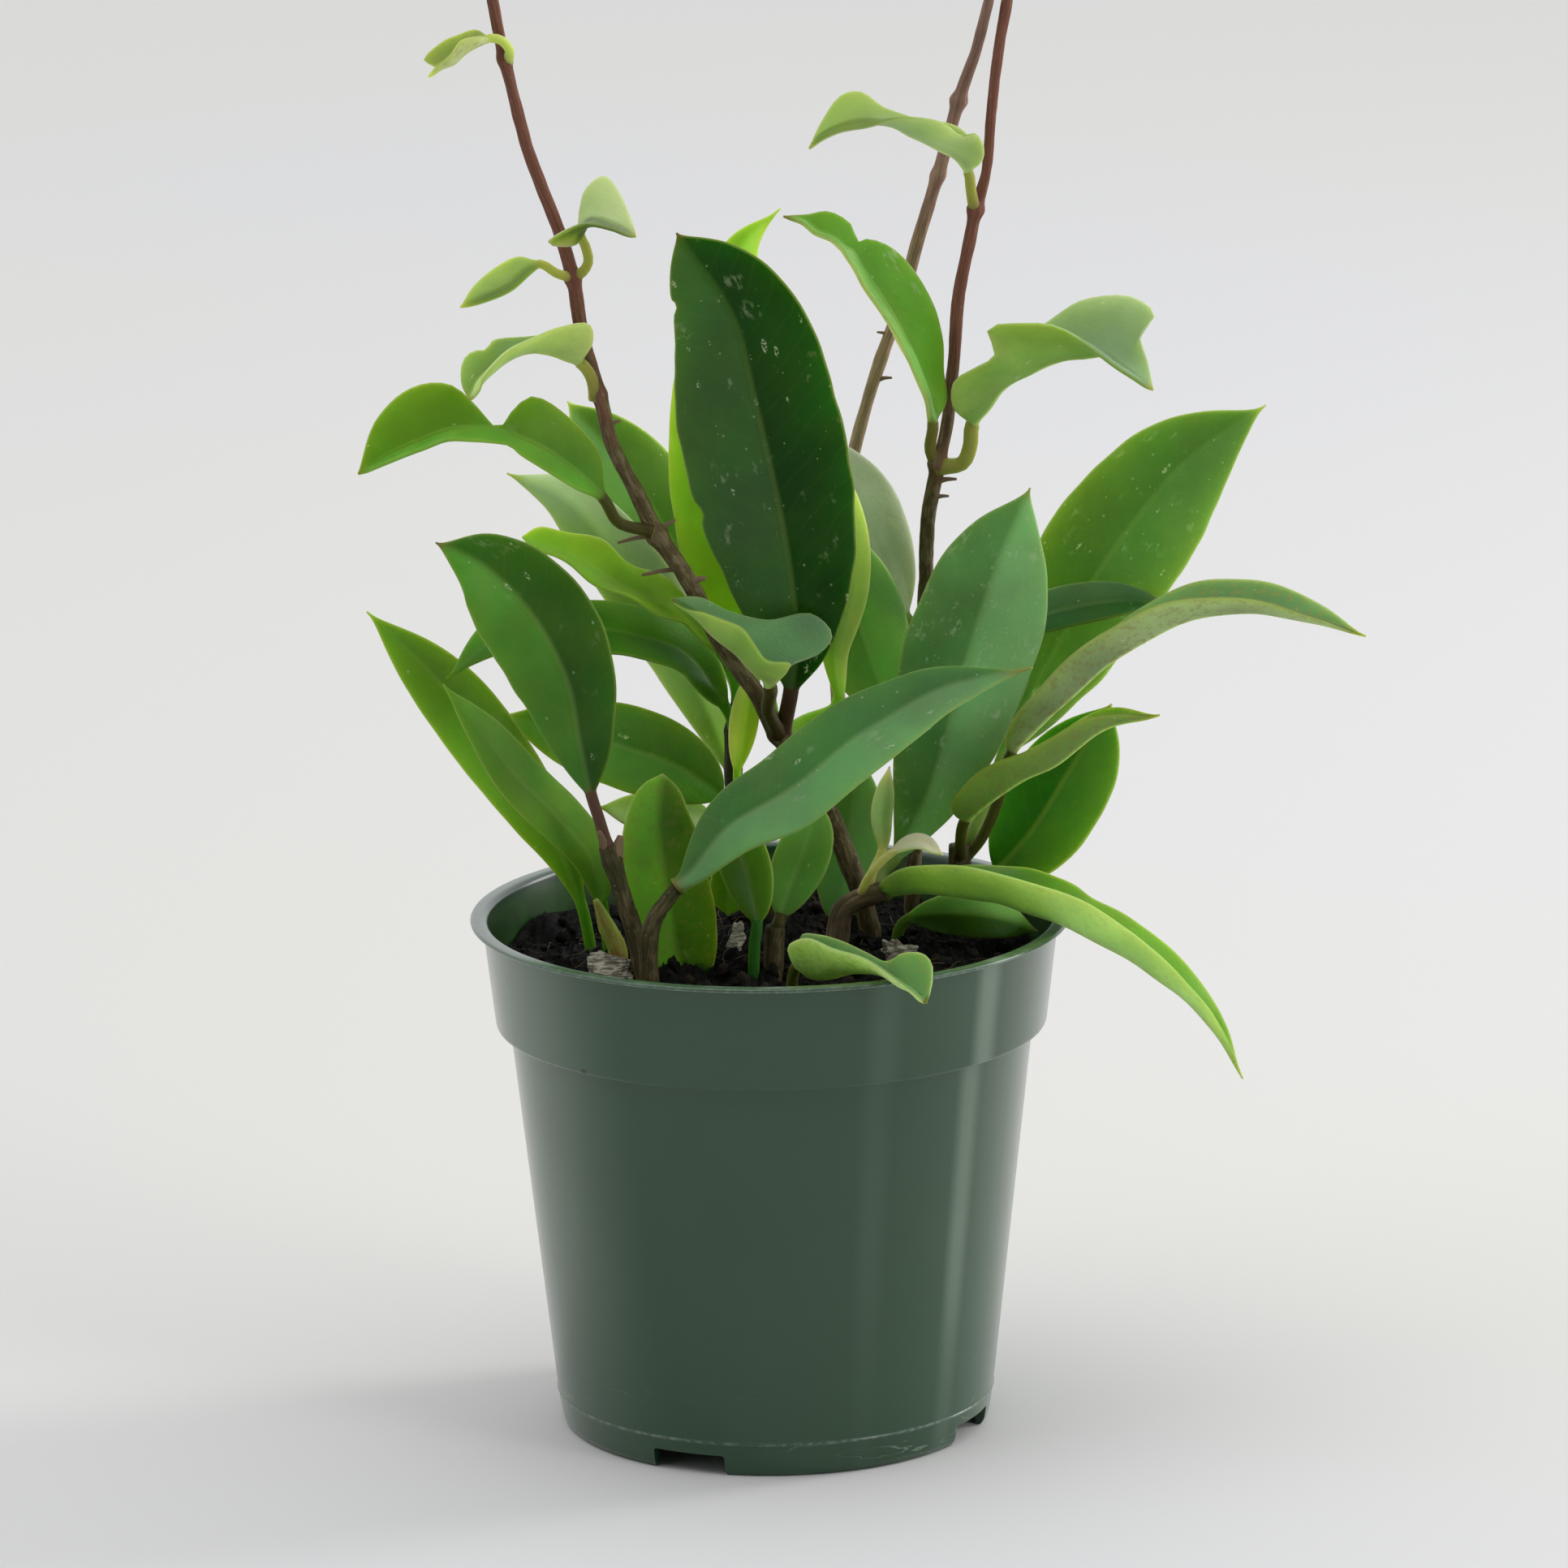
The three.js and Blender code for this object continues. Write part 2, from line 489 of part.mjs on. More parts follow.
    path: [
      [-6.5, 27, 114.5], [-7, 29.5, 116.5], [-7.5, 30, 120], [-12.5, 29, 134.5], [-19, 28, 148],
      [-28, 25, 162.5], [-38, 22, 175], [-49, 21, 180.5],
    ],
    face: [[-0.2, -0.8, 0.5]],
  },
  {
    name: 'leaf_n7', on: 'stem_back_left', colour: 'young', base: 2, wide: 18, fold: 0.1, ab: [0.7, 0.5],
    path: [
      [-5.5, 26, 133.5], [-6.5, 31, 137], [-8, 32.5, 140], [-13, 33, 151],
      [-19, 32, 166], [-27, 31, 179], [-37.5, 30, 192.5],
    ],
    face: [[0, -0.9, 0.4]],
  },
  {
    name: 'leaf_n8', on: 'stem_back_left', colour: 'young', base: 2, wide: 11, fold: 0.5, ab: [0.7, 0.6],
    path: [
      [-5.5, 25, 135], [-6.5, 21, 140.5], [-9, 18, 146], [-16, 16, 153.5],
      [-25.5, 13, 159], [-36, 10, 166], [-46, 8, 171],
    ],
    face: [[-0.1, -0.5, 0.85]],
  },
  {
    name: 'leaf_c1', on: 'soil', colour: 'young', base: 1, wide: 17, fold: 0.1, ab: [0.35, 0.55],
    path: [
      [-16.5, -4, 82], [-16.5, -4, 85], [-18, -4, 94], [-20, -4, 107.5], [-21, -3, 118.5], [-20, -2, 127],
    ],
    face: [[0, -0.95, 0.3]],
  },
  {
    name: 'leaf_c2_left', on: 'soil', colour: 'young', base: 2, wide: 10, fold: 0.3, ab: [0.6, 0.6],
    path: [
      [-3.5, -10, 82], [-3, -10, 96], [-2.5, -9.5, 100], [-4, -7.5, 107.5], [-6.5, -4, 114.5], [-9, -1, 121],
    ],
    face: [[0.1, -0.9, 0.4]],
  },
  {
    name: 'leaf_c2_right', on: 'stem_centre', colour: 'mid', base: 1, wide: 10.5, fold: 0.3, ab: [0.6, 0.6],
    path: [[1, -6, 97], [2, -4, 99.5], [4.5, 0, 105.5], [7.5, 2, 113], [9.5, 5, 120]],
    face: [[-0.1, -0.9, 0.4]],
  },
  {
    name: 'leaf_c3', on: 'stem_back_left', colour: 'mid', base: 2, wide: 8, fold: 0.1, ab: [0.6, 0.45],
    petiole: 0.9,
    path: [[-4.5, 28, 106], [-6, 20, 109.5], [-7, 15, 108], [-7.5, 13, 101.5], [-8, 12, 95.5]],
    face: [[0, -0.9, 0.4]],
  },
  {
    name: 'leaf_c4', on: 'soil', colour: 'old', base: 1, wide: 13, fold: 0.1, ab: [0.5, 0.6],
    path: [
      [16, 32, 82], [15, 32, 88], [14.5, 32, 90.5],
      [15, 32, 101], [16.5, 31, 113.5], [17.5, 30, 122.5],
    ],
    face: [[0, -0.95, 0.2]],
  },
  {
    name: 'leaf_c5_up', on: 'stem_arch', colour: 'young', base: 2, wide: 4, fold: 0.3, ab: [0.75, 0.8],
    petiole: 0.9, thick: 1,
    path: [[18.5, 12, 99], [19.5, 12, 103.5], [21.5, 10.5, 108.5], [21.5, 10, 116], [23, 10, 125]],
    face: [[0, -0.9, 0.3]],
  },
  {
    name: 'leaf_c5_side', on: 'stem_arch', colour: 'young', base: 2, wide: 4, fold: 0.3, ab: [0.75, 0.8],
    petiole: 0.8, thick: 1,
    path: [[17, 12, 98.5], [19, 8.5, 104], [23.5, 7, 109], [28.5, 6, 111], [33, 6, 108.5]],
    face: [[0, -0.5, 0.8]],
  },
  {
    name: 'leaf_c6', on: 'stem_back_left', colour: 'young', base: 2, wide: 5.5, fold: 0.2,
    ab: [0.75, 0.8], petiole: 0.8, thick: 1,
    path: [
      [-6.5, 27, 117], [-6, 22, 119.5], [-6, 21, 122],
      [-5, 20, 129], [-3.5, 19, 138], [-1.5, 19, 143.5],
    ],
    face: [[0, -0.95, 0.2]],
  },
  {
    name: 'leaf_c7', on: 'stem_back_left', colour: 'mid', base: 2, wide: 8.5, fold: 0.2, ab: [0.75, 0.8],
    path: [
      [-5.5, 28, 110.5], [-7.5, 24, 111], [-10.5, 22, 112], [-16.5, 18, 114],
      [-24.5, 14, 115.5], [-32.5, 11, 117.5],
    ],
    face: [[0, -0.85, 0.5]],
  },
  {
    name: 'leaf_c9', on: 'soil', colour: 'mid', base: 2, wide: 10, fold: 0.1, ab: [0.75, 0.8],
    path: [
      [24, 15, 82], [24.5, 14, 91.5], [26.5, 12, 94.5],
      [37.5, 9, 96], [45, 9.5, 94.5], [51, 11, 92],
    ],
    face: [[0, -0.7, 0.7]],
  },
  {
    name: 'leaf_a5_left', on: 'vine_left', colour: 'young', base: 2, wide: 7, fold: 0.5, ab: [0.75, 0.8],
    path: [[-51, 0, 288.5], [-53, -2, 291], [-55.5, -3, 292], [-59, -4, 292.5], [-65, -5, 289.5]],
    face: [[-0.2, -0.5, 0.8]],
  },
  {
    name: 'leaf_a5_right', on: 'vine_left', colour: 'young', base: 2, wide: 7, fold: 0.5, ab: [0.75, 0.8],
    path: [[-51, 0, 288.5], [-49, 2, 290], [-47, 3, 291], [-43, 4, 292], [-37, 5, 289.5]],
    face: [[0.2, -0.5, 0.8]],
  },
  {
    name: 'leaf_b3_left', on: 'vine_right', colour: 'young', base: 2, wide: 8, fold: 0.5, ab: [0.75, 0.8],
    path: [[45, 30, 298], [42.5, 28, 300.5], [40, 27, 302], [34.5, 25, 302], [27.5, 23, 298.5]],
    face: [[-0.2, -0.5, 0.8]],
  },
  {
    name: 'leaf_c8_right', on: 'vine_back', colour: 'young', base: 2, wide: 8, fold: 0.5, ab: [0.75, 0.8],
    path: [[48.5, 30, 293.5], [51, 32, 295], [54.5, 33, 296], [60, 34, 295.5], [67, 35, 291]],
    face: [[0.2, -0.5, 0.8]],
  },
];

// Chips of bark lying on the soil: centre, half sizes, turn about X, Y and Z in degrees.
const CHIPS = [
  { name: 'bark_chip_left', at: [-30, -12, 91.5], half: [4, 1.2, 2.8], turn: [-35, 12, 8] },
  { name: 'bark_chip_middle', at: [-6.5, 8, 91.5], half: [1.3, 1.1, 3], turn: [-40, 15, 0] },
  { name: 'bark_chip_right', at: [24.5, 2, 90.2], half: [3.2, 1.5, 2], turn: [-50, 0, 20] },
];

const rad = (d) => (d * Math.PI) / 180;
const sum = (a, b, k = 1) => [a[0] + b[0] * k, a[1] + b[1] * k, a[2] + b[2] * k];
const dot = (a, b) => a[0] * b[0] + a[1] * b[1] + a[2] * b[2];
const unit = (a) => a.map((v) => v / Math.hypot(...a));
const cross = (a, b) => [
  a[1] * b[2] - a[2] * b[1],
  a[2] * b[0] - a[0] * b[2],
  a[0] * b[1] - a[1] * b[0],
];

// Seeded draw in 0..1, so that every run gives the same bumps.
function drawer(seed) {
  let s = seed;
  return () => {
    s = (s * 16807) % 2147483647;
    return s / 2147483647;
  };
}

// Centripetal Catmull-Rom curve through the points, with arc lengths.
function curve(points) {
  const p = points.map((q) => q.slice(0, 3));
  const n = p.length;
  const q = [sum(sum(p[0], p[0]), p[1], -1), ...p, sum(sum(p[n - 1], p[n - 1]), p[n - 2], -1)];
  const out = [p[0]];
  const knots = [0];
  for (let i = 1; i < q.length - 2; i++) {
    const [p0, p1, p2, p3] = [q[i - 1], q[i], q[i + 1], q[i + 2]];
    const span = (a, b) => Math.max(Math.hypot(...sum(b, a, -1)), 1e-6) ** 0.5;
    const t0 = 0;
    const t1 = t0 + span(p0, p1);
    const t2 = t1 + span(p1, p2);
    const t3 = t2 + span(p2, p3);
    const mix = (a, b, u, v, t) => a.map((x, k) => ((v - t) * x + (t - u) * b[k]) / (v - u));
    for (let k = 1; k <= 24; k++) {
      const t = t1 + ((t2 - t1) * k) / 24;
      const a1 = mix(p0, p1, t0, t1, t);
      const a2 = mix(p1, p2, t1, t2, t);
      const a3 = mix(p2, p3, t2, t3, t);
      const b1 = mix(a1, a2, t0, t2, t);
      const b2 = mix(a2, a3, t1, t3, t);
      out.push(mix(b1, b2, t1, t2, t));
    }
    knots.push(out.length - 1);
  }
  const s = [0];
  for (let i = 1; i < out.length; i++) s.push(s[i - 1] + Math.hypot(...sum(out[i], out[i - 1], -1)));
  return { out, s, knots: knots.map((k) => s[k]) };
}

// Value at x on the polyline xs, ys.
function lerp(x, xs, ys) {
  if (x <= xs[0]) return ys[0];
  for (let i = 1; i < xs.length; i++) {
    if (x <= xs[i]) return ys[i - 1] + ((ys[i] - ys[i - 1]) * (x - xs[i - 1])) / (xs[i] - xs[i - 1]);
  }
  return ys[ys.length - 1];
}

function pointAt(c, x) {
  return [0, 1, 2].map((k) => lerp(x, c.s, c.out.map((q) => q[k])));
}

function tangentAt(c, x) {
  const end = c.s[c.s.length - 1];
  return unit(sum(pointAt(c, Math.min(x + 0.4, end)), pointAt(c, Math.max(x - 0.4, 0)), -1));
}

// Closed body from rings of points; the first `top` points of a ring are its upper side,
// and the diagonals of the lower side lie under those of the upper one.
function ringBody(rings, top) {
  const m = rings[0].length;
  const verts = rings.flat(2);
  const tris = [];
  for (let i = 0; i < rings.length - 1; i++) {
    for (let j = 0; j < m; j++) {
      const a = i * m + j;
      const b = i * m + ((j + 1) % m);
      const c = a + m;
      const d = b + m;
      if (j < top) tris.push([a, b, d], [a, d, c]);
      else tris.push([a, b, c], [b, d, c]);
    }
  }
  const o = (rings.length - 1) * m;
  for (let j = 1; j < m - 1; j++) tris.push([0, j + 1, j], [o, o + j, o + j + 1]);
  const v = (i) => verts.slice(3 * i, 3 * i + 3);
  const volume = tris.reduce((t, [a, b, c]) => t + dot(v(a), cross(v(b), v(c))), 0);
  const order = volume < 0 ? tris.map(([a, b, c]) => [a, c, b]) : tris;
  return manifold(verts, order.flat());
}

function manifold(verts, tris) {
  return new wasm.Manifold(new wasm.Mesh({
    numProp: 3,
    vertProperties: new Float32Array(verts),
    triVerts: new Uint32Array(tris),
  }));
}

// Solid from a closed three.js geometry.
function solid(geometry, matrix = new THREE.Matrix4()) {
  const g = geometry.clone();
  g.deleteAttribute('normal');
  g.deleteAttribute('uv');
  const whole = mergeVertices(g, 1e-4).applyMatrix4(matrix);
  const tris = [];
  for (let i = 0; i < whole.index.count; i += 3) {
    const t = [0, 1, 2].map((k) => whole.index.array[i + k]);
    if (t[0] !== t[1] && t[1] !== t[2] && t[2] !== t[0]) tris.push(...t);
  }
  return manifold([...whole.attributes.position.array], tris);
}

// Round tube along a path with a radius at each point and swellings at its nodes.
function tube(path, nodes = [], extra = 0, sides = STEM_SIDES) {
  const c = curve(path);
  const end = c.s[c.s.length - 1];
  const stations = new Set([0, end]);
  for (let k = 1; k < c.knots.length; k++) {
    const parts = Math.max(1, Math.round((c.knots[k] - c.knots[k - 1]) / STEM_STEP));
    for (let i = 1; i <= parts; i++) {
      stations.add(c.knots[k - 1] + ((c.knots[k] - c.knots[k - 1]) * i) / parts);
    }
  }
  for (const [k] of nodes) {
    stations.add(Math.max(c.knots[k] - 1.6, 0.1));
    stations.add(Math.min(c.knots[k] + 1.6, end - 0.1));
  }
  let order = [...stations].sort((a, b) => a - b);
  order = order.filter((x, i) => i === 0 || x === end || x - order[i - 1] > 0.4);
  let side = null;
  const rings = order.map((x) => {
    const t = tangentAt(c, x);
    const guess = side ?? (Math.abs(t[2]) > 0.9 ? [1, 0, 0] : [0, 0, 1]);
    side = unit(sum(guess, t, -dot(guess, t)));
    const up = cross(t, side);
    let r = lerp(x, c.knots, path.map((q) => q[3])) + extra;
    for (const [k, swell] of nodes) r += swell * Math.exp(-(((x - c.knots[k]) / 1.3) ** 2));
    const at = pointAt(c, x);
    return Array.from({ length: sides }, (_, j) => {
      const a = (2 * Math.PI * j) / sides;
      return sum(sum(at, side, r * Math.cos(a)), up, r * Math.sin(a));
    });
  });
  return ringBody(rings, sides);
}

// Stem with its fused aerial roots and twigs; extra makes the room cut round it.
function stem(row, extra = 0) {
  let body = tube(row.path, row.nodes, extra);
  for (const [from, to, r0, r1] of NUBS[row.name] ?? []) {
    const middle = from.map((v, k) => (v + to[k]) / 2 + (k === 2 ? 0.2 : 0));
    const path = [[...from, r0], [...middle, (r0 + r1) / 2], [...to, r1]];
    body = body.add(tube(path, [], extra, 6));
  }
  return body;
}

// Vectors from the midrib to both margins of a folded leaf, at the length x of its path.
function marginArms(row, c, x) {
  const foot = row.base;
  return [row.left, row.right].map((margin) => {
    const edge = curve([row.path[foot], ...margin, row.path[row.path.length - 1]]);
    const there = lerp(x, c.knots.slice(foot), edge.knots);
    return x > c.knots[foot] ? sum(pointAt(edge, there), pointAt(c, x), -1) : [0, 0, 0];
  });
}

// Leaf: a round petiole that flattens into a blade with a folded or waved upper side.
function leaf(row) {
  const c = curve(row.path);
  const end = c.s[c.s.length - 1];
  const start = c.knots[row.base];
  const petiole = row.petiole ?? 1.1;
  const thick = row.thick ?? 1.5;
  const [a, b] = row.ab ?? [1, 1];
  const folded = row.left !== undefined;
  const nips = row.nips ?? [];
  const [waveHigh, waves, wavePhase] = row.wave ?? [0, 1, 0];
  const faces = (row.face.length === 3 ? row.face : [row.face[0], row.face[0], row.face[0]]).map(unit);
  let along = [...(end - start < SHORT_BLADE ? SHORT_STATIONS : STATIONS)];
  if (folded) along = [...FOLDED_STATIONS];
  for (const [, u, , long] of nips) along.push(u - 1.3 * long, u, u + 1.3 * long);
  along.sort((x, y) => x - y);
  along = along.filter((x, i) => i === 0 || x - along[i - 1] > 0.015);
  const places = along.map((u) => [start + u * (end - start), u]);
  if (row.base > 0) {
    for (let i = PETIOLE_RINGS - 1; i >= 0; i--) places.unshift([(start * i) / PETIOLE_RINGS, 0]);
  }
  const peak = a / (a + b);
  const scale = 1 / (peak ** a * (1 - peak) ** b);
  const rings = places.map(([x, u]) => {
    const t = tangentAt(c, x);
    const mix = [2 * (u - 0.5) * (u - 1), 4 * u * (1 - u), 2 * u * (u - 0.5)];
    const f = [0, 1, 2].map((k) => mix[0] * faces[0][k] + mix[1] * faces[1][k] + mix[2] * faces[2][k]);
    const n = unit(sum(f, t, -dot(f, t)));
    const s = cross(t, n);
    const arms = folded ? marginArms(row, c, x) : [];
    let w = ((row.wide ?? 1) / 2) * scale * Math.max(u, 1e-9) ** a * Math.max(1 - u, 1e-9) ** b;
    w *= 1 - u ** TIP_POWER;
    if (folded) w = (Math.hypot(...arms[0]) + Math.hypot(...arms[1])) / 2;
    const round = petiole + (TIP_RADIUS - petiole) * Math.sqrt(u);
    const blend = w / (w + 1);
    const at = pointAt(c, x);
    const upper = [];
    const lower = [];
    for (const v of ACROSS) {
      const arch = Math.sqrt(1 - v * v);
      let half = Math.hypot(round, w);
      for (const [side, place, deep, long] of nips) {
        if (v * side > 0) half *= 1 - deep * Math.exp(-(((u - place) / long) ** 2));
      }
      const blade = MARGIN_HALF + (thick / 2 - MARGIN_HALF) * arch;
      const h = round * (0.45 + 0.55 * arch) * (1 - blend) + blade * blend;
      let lift = w * ((row.fold ?? 0) * (Math.sqrt(v * v + 0.01) - 0.1) - 0.05 * v * v)
        + waveHigh * Math.sin(2 * Math.PI * waves * u + wavePhase) * v * Math.abs(v) * Math.min(1, w / 4);
      let way = s;
      let up = n;
      if (folded) {
        const ways = arms.map((arm, i) => unit(sum(arm.map((k) => (i ? k : -k)), s, 0.4)));
        const ups = ways.map((k) => unit(cross(k, t)));
        const share = Math.min(1, Math.max(0, 0.5 + 1.6 * v));
        way = ways[v < 0 ? 0 : 1];
        up = unit(sum(ups[0].map((k) => k * (1 - share)), ups[1], share));
        half = Math.hypot(round, ...arms[v < 0 ? 0 : 1]);
        lift = half * (0.6 * (Math.sqrt(v * v + 0.01) - Math.abs(v)) - 0.12 * (Math.abs(v) - v * v));
      }
      const middle = sum(sum(at, way, half * v), up, lift);
      upper.push(sum(middle, up, h));
      lower.unshift(sum(middle, up, -h));
    }
    return [...upper, ...lower];
  });
  return ringBody(rings, ACROSS.length);
}

// Pot: a turned shell with an out-turned lip, a collar and a raised ring in the foot.
function pot() {
  const inner = (r, z) => [r - WALL, z];
  const profile = [
    [0, 0], [CENTRE_PAD_RADIUS, 0], [CENTRE_PAD_RADIUS + 2, CHANNEL_Z - 1],
    [FOOT_RADIUS - 1.6, CHANNEL_Z - 1],
    [FOOT_RADIUS - 1.2, 0], [FOOT_RADIUS - 0.3, 0], [FOOT_RADIUS + 0.5, 1.2],
    [BODY_FOOT_RADIUS, BODY_FOOT_Z], [BODY_TOP_RADIUS, COLLAR_FOOT_Z - 0.6],
    [BODY_TOP_RADIUS + 0.5, COLLAR_FOOT_Z], [COLLAR_FOOT_RADIUS - 0.3, COLLAR_FOOT_Z],
    [COLLAR_FOOT_RADIUS, COLLAR_FOOT_Z + 0.5], [COLLAR_TOP_RADIUS, POT_HEIGHT - LIP_THICK],
    [LIP_RADIUS - 0.2, POT_HEIGHT - LIP_THICK], [LIP_RADIUS, POT_HEIGHT - LIP_THICK / 2],
    [LIP_RADIUS - 0.3, POT_HEIGHT], [COLLAR_TOP_RADIUS - 0.2, POT_HEIGHT],
    inner(COLLAR_TOP_RADIUS, POT_HEIGHT - 0.6), inner(COLLAR_FOOT_RADIUS, COLLAR_FOOT_Z + 1.5),
    inner(BODY_TOP_RADIUS, COLLAR_FOOT_Z - 1.2), inner(BODY_FOOT_RADIUS, BODY_FOOT_Z),
    [CENTRE_PAD_RADIUS + 2.5, CHANNEL_Z + 0.4], [CENTRE_PAD_RADIUS - 1, 1.4], [0, 1.4],
  ];
  const points = profile.map(([r, z]) => new THREE.Vector2(r, z));
  const turned = new THREE.LatheGeometry(points, POT_SIDES);
  let body = solid(turned, new THREE.Matrix4().makeRotationX(Math.PI / 2));
  for (let i = 0; i < 4; i++) {
    const turn = rad(SLOT_FIRST_ANGLE + 90 * i);
    const slot = new THREE.BoxGeometry(8, SLOT_WIDTH, 2 * SLOT_HEIGHT);
    const m = new THREE.Matrix4().makeRotationZ(turn);
    m.multiply(new THREE.Matrix4().makeTranslation(FOOT_RADIUS + 1.6, 0, 0));
    body = body.subtract(solid(slot, m));
    const hole = new THREE.CylinderGeometry(DRAIN_RADIUS, DRAIN_RADIUS, 6, 16);
    const place = new THREE.Matrix4().makeRotationZ(turn + rad(45));
    place.multiply(new THREE.Matrix4().makeTranslation(DRAIN_RING_RADIUS, 0, CHANNEL_Z));
    place.multiply(new THREE.Matrix4().makeRotationX(Math.PI / 2));
    body = body.subtract(solid(hole, place));
  }
  return body;
}

// Height of the soil at x, y: highest at the back left, with seeded bumps.
const bumps = drawer(1961);
const BUMP_FIELD = Array.from({ length: 12 }, () => {
  const turn = 2 * Math.PI * bumps();
  return [Math.cos(turn), Math.sin(turn), 0.12 + 0.45 * bumps(), 6.28 * bumps()];
});
function soilHeight(x, y) {
  let z = SOIL_Z + 0.025 * y - 0.01 * x;
  for (const [cx, cy, f, phase] of BUMP_FIELD) {
    z += (SOIL_BUMP / 4) * Math.sin(f * (cx * x + cy * y) + phase);
  }
  return z;
}

// Radius of the pot's inside at a height, less the gap.
function potInside(z) {
  const zs = [BODY_FOOT_Z, COLLAR_FOOT_Z - 1.2, COLLAR_FOOT_Z + 1.5, POT_HEIGHT];
  const rs = [BODY_FOOT_RADIUS, BODY_TOP_RADIUS, COLLAR_FOOT_RADIUS, COLLAR_TOP_RADIUS];
  return lerp(z, zs, rs.map((r) => r - WALL - GAP));
}

// Soil: fills the pot's inside, with a bumpy top.
function soil() {
  const levels = [BODY_FOOT_Z + 0.6, COLLAR_FOOT_Z - 1.3, COLLAR_FOOT_Z + 1.6];
  const rings = levels.map((z) => ({ r: potInside(z) * Math.cos(Math.PI / POT_SIDES) - 0.1, z }));
  const rim = potInside(SOIL_Z) - 0.2;
  const verts = [[0, 0, levels[0]]];
  const ring = (r, height) => {
    for (let j = 0; j < SOIL_SIDES; j++) {
      const t = (2 * Math.PI * j) / SOIL_SIDES;
      const [x, y] = [r * Math.cos(t), r * Math.sin(t)];
      verts.push([x, y, height ?? soilHeight(x, y)]);
    }
  };
  for (const { r, z } of rings) ring(r, z);
  for (let k = 0; k < SOIL_RINGS; k++) ring((rim * (SOIL_RINGS - k)) / SOIL_RINGS);
  verts.push([0, 0, soilHeight(0, 0)]);
  const last = verts.length - 1;
  const count = rings.length + SOIL_RINGS;
  const tris = [];
  for (let j = 0; j < SOIL_SIDES; j++) {
    const next = (j + 1) % SOIL_SIDES;
    tris.push([0, 1 + next, 1 + j]);
    for (let k = 0; k < count - 1; k++) {
      const a = 1 + k * SOIL_SIDES + j;
      const b = 1 + k * SOIL_SIDES + next;
      tris.push([a, b, b + SOIL_SIDES], [a, b + SOIL_SIDES, a + SOIL_SIDES]);
    }
    const o = 1 + (count - 1) * SOIL_SIDES;
    tris.push([o + j, o + next, last]);
  }
  return manifold(verts.flat(), tris.flat());
}

// Chip of bark: a box with its corners moved by a seeded draw.
function chip(row, index, extra = 0) {
  const draw = drawer(77 + 31 * index);
  const box = new THREE.BoxGeometry(2, 2, 2);
  box.deleteAttribute('normal');
  box.deleteAttribute('uv');
  const g = mergeVertices(box);
  const p = g.attributes.position;
  for (let i = 0; i < p.count; i++) {
    const corner = [p.getX(i), p.getY(i), p.getZ(i)];
    const moved = corner.map((v, k) => v * (row.half[k] * (0.72 + 0.35 * draw()) + extra));
    p.setXYZ(i, ...moved);
  }
  const turn = new THREE.Euler(...row.turn.map(rad));
  const m = new THREE.Matrix4().makeRotationFromEuler(turn).setPosition(...row.at);
  return solid(g, m);
}

const bodies = new Map();
const colours = new Map();
function keep(name, body, colour) {
  bodies.set(name, body);
  colours.set(name, colour);
}

keep('pot', pot(), 'pot');
for (const row of STEMS) keep(row.name, stem(row), row.colour);
for (const row of LEAVES) {
  const host = STEMS.find((s) => s.name === row.on);
  const body = leaf(row);
  keep(row.name, host ? body.subtract(stem(host, GAP)) : body, row.colour);
}
CHIPS.forEach((row, i) => keep(row.name, chip(row, i), 'chip'));

// The soil is cut round everything that stands or lies in it.
let ground = soil();
for (const row of STEMS) ground = ground.subtract(tube(row.path, row.nodes, GAP));
for (const row of LEAVES.filter((r) => r.on === 'soil')) {
  const petiole = (row.petiole ?? 1.1) + GAP + 0.4;
  const path = row.path.slice(0, row.base + 1).map((q) => [...q, petiole]);
  ground = ground.subtract(tube(path, [], 0));
  if (row.base === 1) ground = ground.subtract(leaf({ ...row, thick: 2.4, wide: row.wide + 0.6, petiole }));
}
CHIPS.forEach((row, i) => {
  ground = ground.subtract(chip(row, i, GAP));
});
keep('soil', ground, 'soil');

function mesh(name) {
  const { vertProperties, triVerts, numProp } = bodies.get(name).getMesh();
  const verts = [];
  for (let i = 0; i < vertProperties.length; i += numProp) verts.push(...vertProperties.slice(i, i + 3));
  const g = new THREE.BufferGeometry();
  g.setAttribute('position', new THREE.Float32BufferAttribute(verts, 3));
  g.setIndex([...triVerts]);
  g.computeVertexNormals();
  const [color, roughness] = COLOURS[colours.get(name)];
  const material = new THREE.MeshStandardMaterial({ color, roughness, metalness: 0 });
  const m = new THREE.Mesh(g, material);
  m.name = name;
  return m;
}

const part = new THREE.Group();
part.name = 'potted_hoya';
for (const name of bodies.keys()) part.add(mesh(name));

export default part;
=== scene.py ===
"""Potted hoya: finer pieces and finishes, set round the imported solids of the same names."""

import math

import bpy
import numpy as np
from mathutils import Matrix


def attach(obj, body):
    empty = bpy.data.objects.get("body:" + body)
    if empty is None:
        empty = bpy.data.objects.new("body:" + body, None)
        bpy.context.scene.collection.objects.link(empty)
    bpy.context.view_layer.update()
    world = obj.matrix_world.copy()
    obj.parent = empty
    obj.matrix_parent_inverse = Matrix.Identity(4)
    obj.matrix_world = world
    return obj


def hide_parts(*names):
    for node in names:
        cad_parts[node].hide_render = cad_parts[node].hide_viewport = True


bl_info = {
    "name": "Potted hoya",
    "version": (1, 0, 0),
    "blender": (4, 5, 0),
    "location": "3D View > Sidebar > Hoya",
    "description": "Builds the leaves, stems, soil and pot of a potted hoya round its solids",
    "category": "Add Mesh",
}

